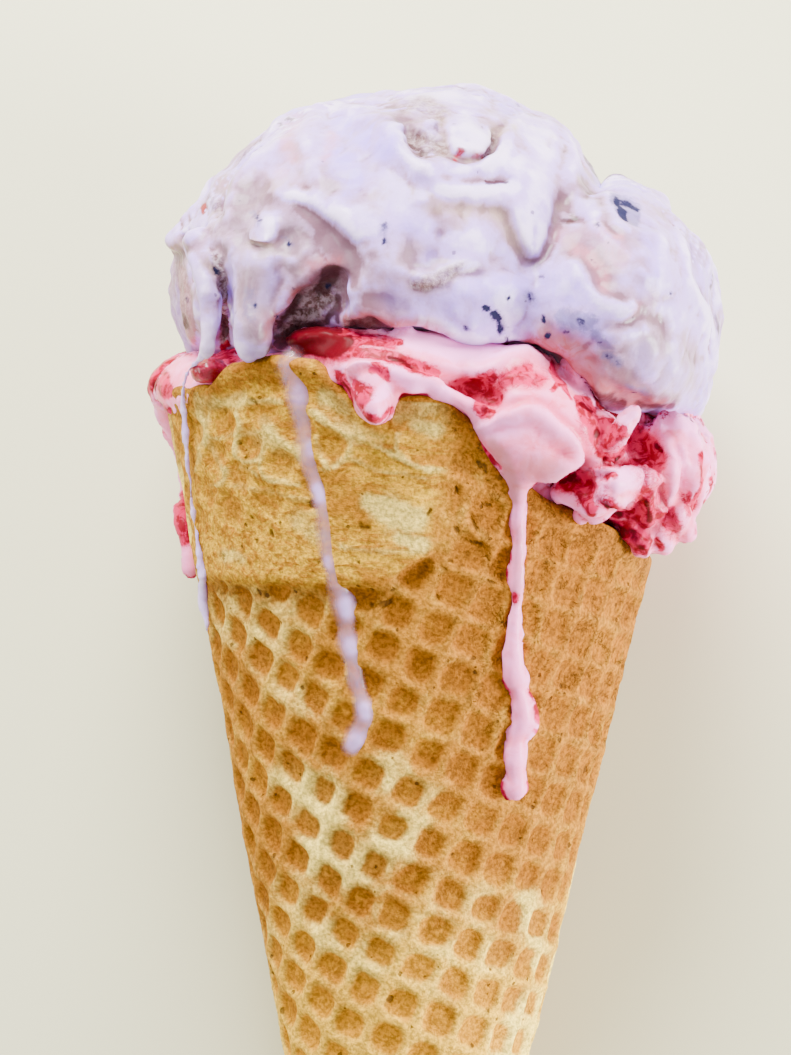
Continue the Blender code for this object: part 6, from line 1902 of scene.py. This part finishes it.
def waffle_masks(points, facts):
    """Where the cone is ironed out, toasted, pale, darkened by browning at the rim and by painted shade
    below the crease, webbed and pitted, for each of its points.
    """
    turn, height, outside = facts["turn"], facts["height"], facts["outside"]
    view = ConeView(points, (np.abs(turn) < CONE_SEEN_TURN) & (outside > 0))
    painted = {name: view.painted(CONE_PAINT[name]) for name in ("ghost", "milky", "pale")}
    web, pits = view.painted(CONE_PAINT["web"], 1.5), view.painted(CONE_PAINT["pits"], 1.0)
    cuff = smooth_cuff(turn, height)
    near_rim = 1 - ramp(facts["below"], 2.0, 5.0)
    seam = 1 - ramp(facts["seam"], 0.6, EDGE_MARGIN)
    toast = ramp(turn, -4, 20) * ramp(height, 96, 138)
    toast = np.maximum(toast, 0.8 * (1 - ramp(turn, -150, -100)) * ramp(height, 100, 140))
    ironed = cuff * (0.93 - 0.55 * painted["ghost"])
    gain = outside * (1 - ironed) * (1 - near_rim) * (1 - seam) * ramp(height, TIP_Y + 0.5, TIP_Y + 3)
    low = 1 - ramp(height, 72, 108)
    behind = (np.abs(turn) > 80).astype(float)
    pale = np.maximum(painted["pale"], behind * ramp(fractal(points, 22, 4), 0.0, 0.6))
    pale = np.maximum(pale, low * ramp(fractal(points, 20, 14), -0.1, 0.5))
    crease_shade = np.exp(-((height - crease(turn) + 1.2) / 2.0) ** 2)
    crease_shade = crease_shade * ramp(turn, -92, -70) * (1 - ramp(turn, -2, 12))
    combed = fractal(points * (0.22, 1.0, 1.0), 2.6, 91)
    grit = 0.09 * outside * (1 - cuff) * fractal(points, 1.8, 93)
    raised = 0.30 * web - 0.35 * pits + cuff * 0.10 * combed + grit
    return {
        "gain": gain * (1 - 0.25 * toast), "fineness": toast, "toast": toast, "pale": pale, "low": low,
        "yellow": cuff * (1 - 0.9 * ramp(view.px, *CUFF_END_PIXELS)), "pits": pits,
        "milky": np.maximum(painted["milky"], 0.75 * web),
        # The rim's real browning, and painted shade below the crease.
        "brown_and_crease_shade": np.maximum(0.9 * crease_shade, np.maximum(view.painted((RIM_BROWN,)), 0.7 * near_rim)),
        "raised": raised * (1 - near_rim) * (1 - seam) * outside,
    }


class WaffleCone(bpy.types.Operator):
    """Builds the rolled waffle cone with its pressed pockets"""
    bl_idname = "ice_cream.waffle_cone"
    bl_label = "Waffle cone"

    def execute(self, context):
        sizes, look = context.scene.cone_sizes, context.scene.ice_cream_finishes
        points, faces, facts = waffle_skin(sizes.spacing)
        obj = piece_of("waffle_cone_skin", mesh_of("waffle_cone_skin", lie_down(points), faces))
        for name, values in waffle_masks(points, facts).items():
            store(obj.data, name, values)
        store(obj.data, "sheet", facts["sheet"], "FLOAT_VECTOR")
        baked(obj, waffle_relief_tree(), {
            "Pitch": sizes.pitch, "Turn": sizes.turn, "Rib Width": sizes.rib, "Pocket Depth": sizes.depth,
            "Corner": 1.25, "Softness": 0.8, "Unevenness": 2.2, "Seed": 4.0, "Start": (*GRID_START, 0.0),
            "Material": waffle_material(look)})
        obj.data.shade_smooth()
        hand_over(obj, "waffle_cone")
        return {"FINISHED"}


class RippleScoop(bpy.types.Operator):
    """Builds the lower scoop, raspberry ripple, with the drip that runs down from it"""
    bl_idname = "ice_cream.ripple_scoop"
    bl_label = "Ripple scoop"

    def execute(self, context):
        surface = ripple_surface(context.scene.scoop_sizes.lower_grid)
        material = ripple_material(context.scene.ice_cream_finishes)
        hand_over(piece_from(surface, "ripple_scoop_melt", material), "ripple_scoop")
        return {"FINISHED"}


class HuckleberryScoop(bpy.types.Operator):
    """Builds the upper scoop, huckleberry, with its folds, crater and drips"""
    bl_idname = "ice_cream.huckleberry_scoop"
    bl_label = "Huckleberry scoop"

    def execute(self, context):
        surface = huckleberry_surface(context.scene.scoop_sizes.upper_grid)
        material = huckleberry_material(context.scene.ice_cream_finishes)
        hand_over(piece_from(surface, "huckleberry_scoop_melt", material), "huckleberry_scoop")
        return {"FINISHED"}


class MauveRun(bpy.types.Operator):
    """Builds the thin run of melt that dried on the cone's front"""
    bl_idname = "ice_cream.mauve_run"
    bl_label = "Mauve run"

    def execute(self, context):
        field = Field(*RUN_ROOM, context.scene.scoop_sizes.run_grid)
        field.roll(*seen_run(MAUVE_RUN, -0.74, 1.6), 0.3)
        surface = surface_of(field, 2)
        surface.masks["middle"] = surface.painted(((1.0, *np.ravel(MAUVE_RUN)),), 1.6)
        surface.masks["milky"] = surface.painted(MAUVE_MILKY, 1.6)
        obj = piece_from(surface, "mauve_run", mauve_material(context.scene.ice_cream_finishes))
        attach(obj, "root")
        return {"FINISHED"}


class RedBerry(bpy.types.Operator):
    """Builds the glossy red berry that sits against the rim"""
    bl_idname = "ice_cream.red_berry"
    bl_label = "Red berry"

    def execute(self, context):
        field = Field(*BERRY_ROOM, 0.2)
        field.lump(BERRY, 0.5)
        surface = surface_of(field, 2)
        surface.push(0.16 * fractal(surface.points, 1.3, 4))
        material = berry_material(context.scene.ice_cream_finishes)
        hand_over(piece_from(surface, "red_berry_skin", material), "red_berry")
        return {"FINISHED"}


class Stage(bpy.types.Operator):
    """Sets the pale floor, the soft lights and the camera"""
    bl_idname = "ice_cream.stage"
    bl_label = "Stage"

    def execute(self, context):
        sizes, look = context.scene.stage_sizes, context.scene.ice_cream_finishes
        x, y = (-FLOOR_HALF, FLOOR_HALF), (-FLOOR_HALF, FLOOR_HALF)
        corners = [(a, b, c) for c in (-FLOOR_THICK, 0.0) for b in y for a in x]
        sides = ((0, 2, 3, 1), (4, 5, 7, 6), (0, 1, 5, 4), (2, 6, 7, 3), (0, 4, 6, 2), (1, 3, 7, 5))
        mesh = bpy.data.meshes.new("floor")
        mesh.from_pydata(corners, [], sides)
        floor = piece_of("floor", mesh)
        mesh.materials.append(floor_material(look))
        self.light("key light", (-0.10, 0.47, 0.36), 0.36, sizes.key, (1.0, 0.99, 0.97))
        self.light("right light", (0.58, -0.08, 0.16), 0.3, RIGHT_SHARE * sizes.fill, (1.0, 1.0, 1.0))
        self.light("left light", (-0.55, 0.1, 0.30), 0.3, LEFT_SHARE * sizes.fill, (1.0, 1.0, 1.0))
        world = bpy.data.worlds.new("soft surroundings")
        world.use_nodes = True
        background = world.node_tree.nodes["Background"]
        background.inputs["Color"].default_value = SKY_COLOUR
        background.inputs["Strength"].default_value = sizes.sky
        context.scene.world = world
        right, up = (Vector(axis) for axis in eye_axes())
        back = Vector((0, 0, 1))
        turned = Matrix.Rotation(HALF_ANGLE, 3, "X")
        place = lie_down(np.array([EYE]))[0]
        data = bpy.data.cameras.new("camera")
        data.lens, data.sensor_width = LENS, SENSOR
        data.clip_start, data.clip_end = 0.01, 10.0
        camera = bpy.data.objects.new("camera", data)
        context.scene.collection.objects.link(camera)
        axes = Matrix([turned @ axis for axis in (right, up, back)]).transposed()
        camera.matrix_world = Matrix.Translation(place) @ axes.to_4x4()
        context.scene.camera = camera
        return {"FINISHED"}

    def light(self, name, place, size, power, colour):
        data = bpy.data.lights.new(name, "AREA")
        data.shape, data.size, data.energy, data.color = "DISK", size, power, colour
        obj = bpy.data.objects.new(name, data)
        bpy.context.scene.collection.objects.link(obj)
        aim = Vector(LIGHTS_AIM) - Vector(place)
        obj.matrix_world = Matrix.Translation(place) @ aim.to_track_quat("-Z", "Y").to_matrix().to_4x4()


STEPS = (WaffleCone, MauveRun, RippleScoop, HuckleberryScoop, RedBerry, Stage)
SETTINGS = {"cone_sizes": ConeSizes, "scoop_sizes": ScoopSizes, "ice_cream_finishes": Finishes,
            "stage_sizes": StageSizes}


class IceCreamPanel(bpy.types.Panel):
    """Lists the pieces and the values that shape them"""
    bl_idname = "VIEW3D_PT_ice_cream"
    bl_label = "Ice cream"
    bl_space_type = "VIEW_3D"
    bl_region_type = "UI"
    bl_category = "Ice cream"

    def draw(self, context):
        for step in STEPS:
            self.layout.operator(step.bl_idname)
        for name, group in SETTINGS.items():
            box = self.layout.box()
            for key in group.__annotations__:
                box.prop(getattr(context.scene, name), key)


CLASSES = (*SETTINGS.values(), *STEPS, IceCreamPanel)


def register():
    for cls in CLASSES:
        bpy.utils.register_class(cls)
    for name, group in SETTINGS.items():
        setattr(bpy.types.Scene, name, PointerProperty(type=group))


def unregister():
    for name in SETTINGS:
        delattr(bpy.types.Scene, name)
    for cls in reversed(CLASSES):
        bpy.utils.unregister_class(cls)


def main():
    register()
    for step in STEPS:
        getattr(bpy.ops.ice_cream, step.bl_idname.split(".")[1])()


if __name__ == "__main__":
    main()
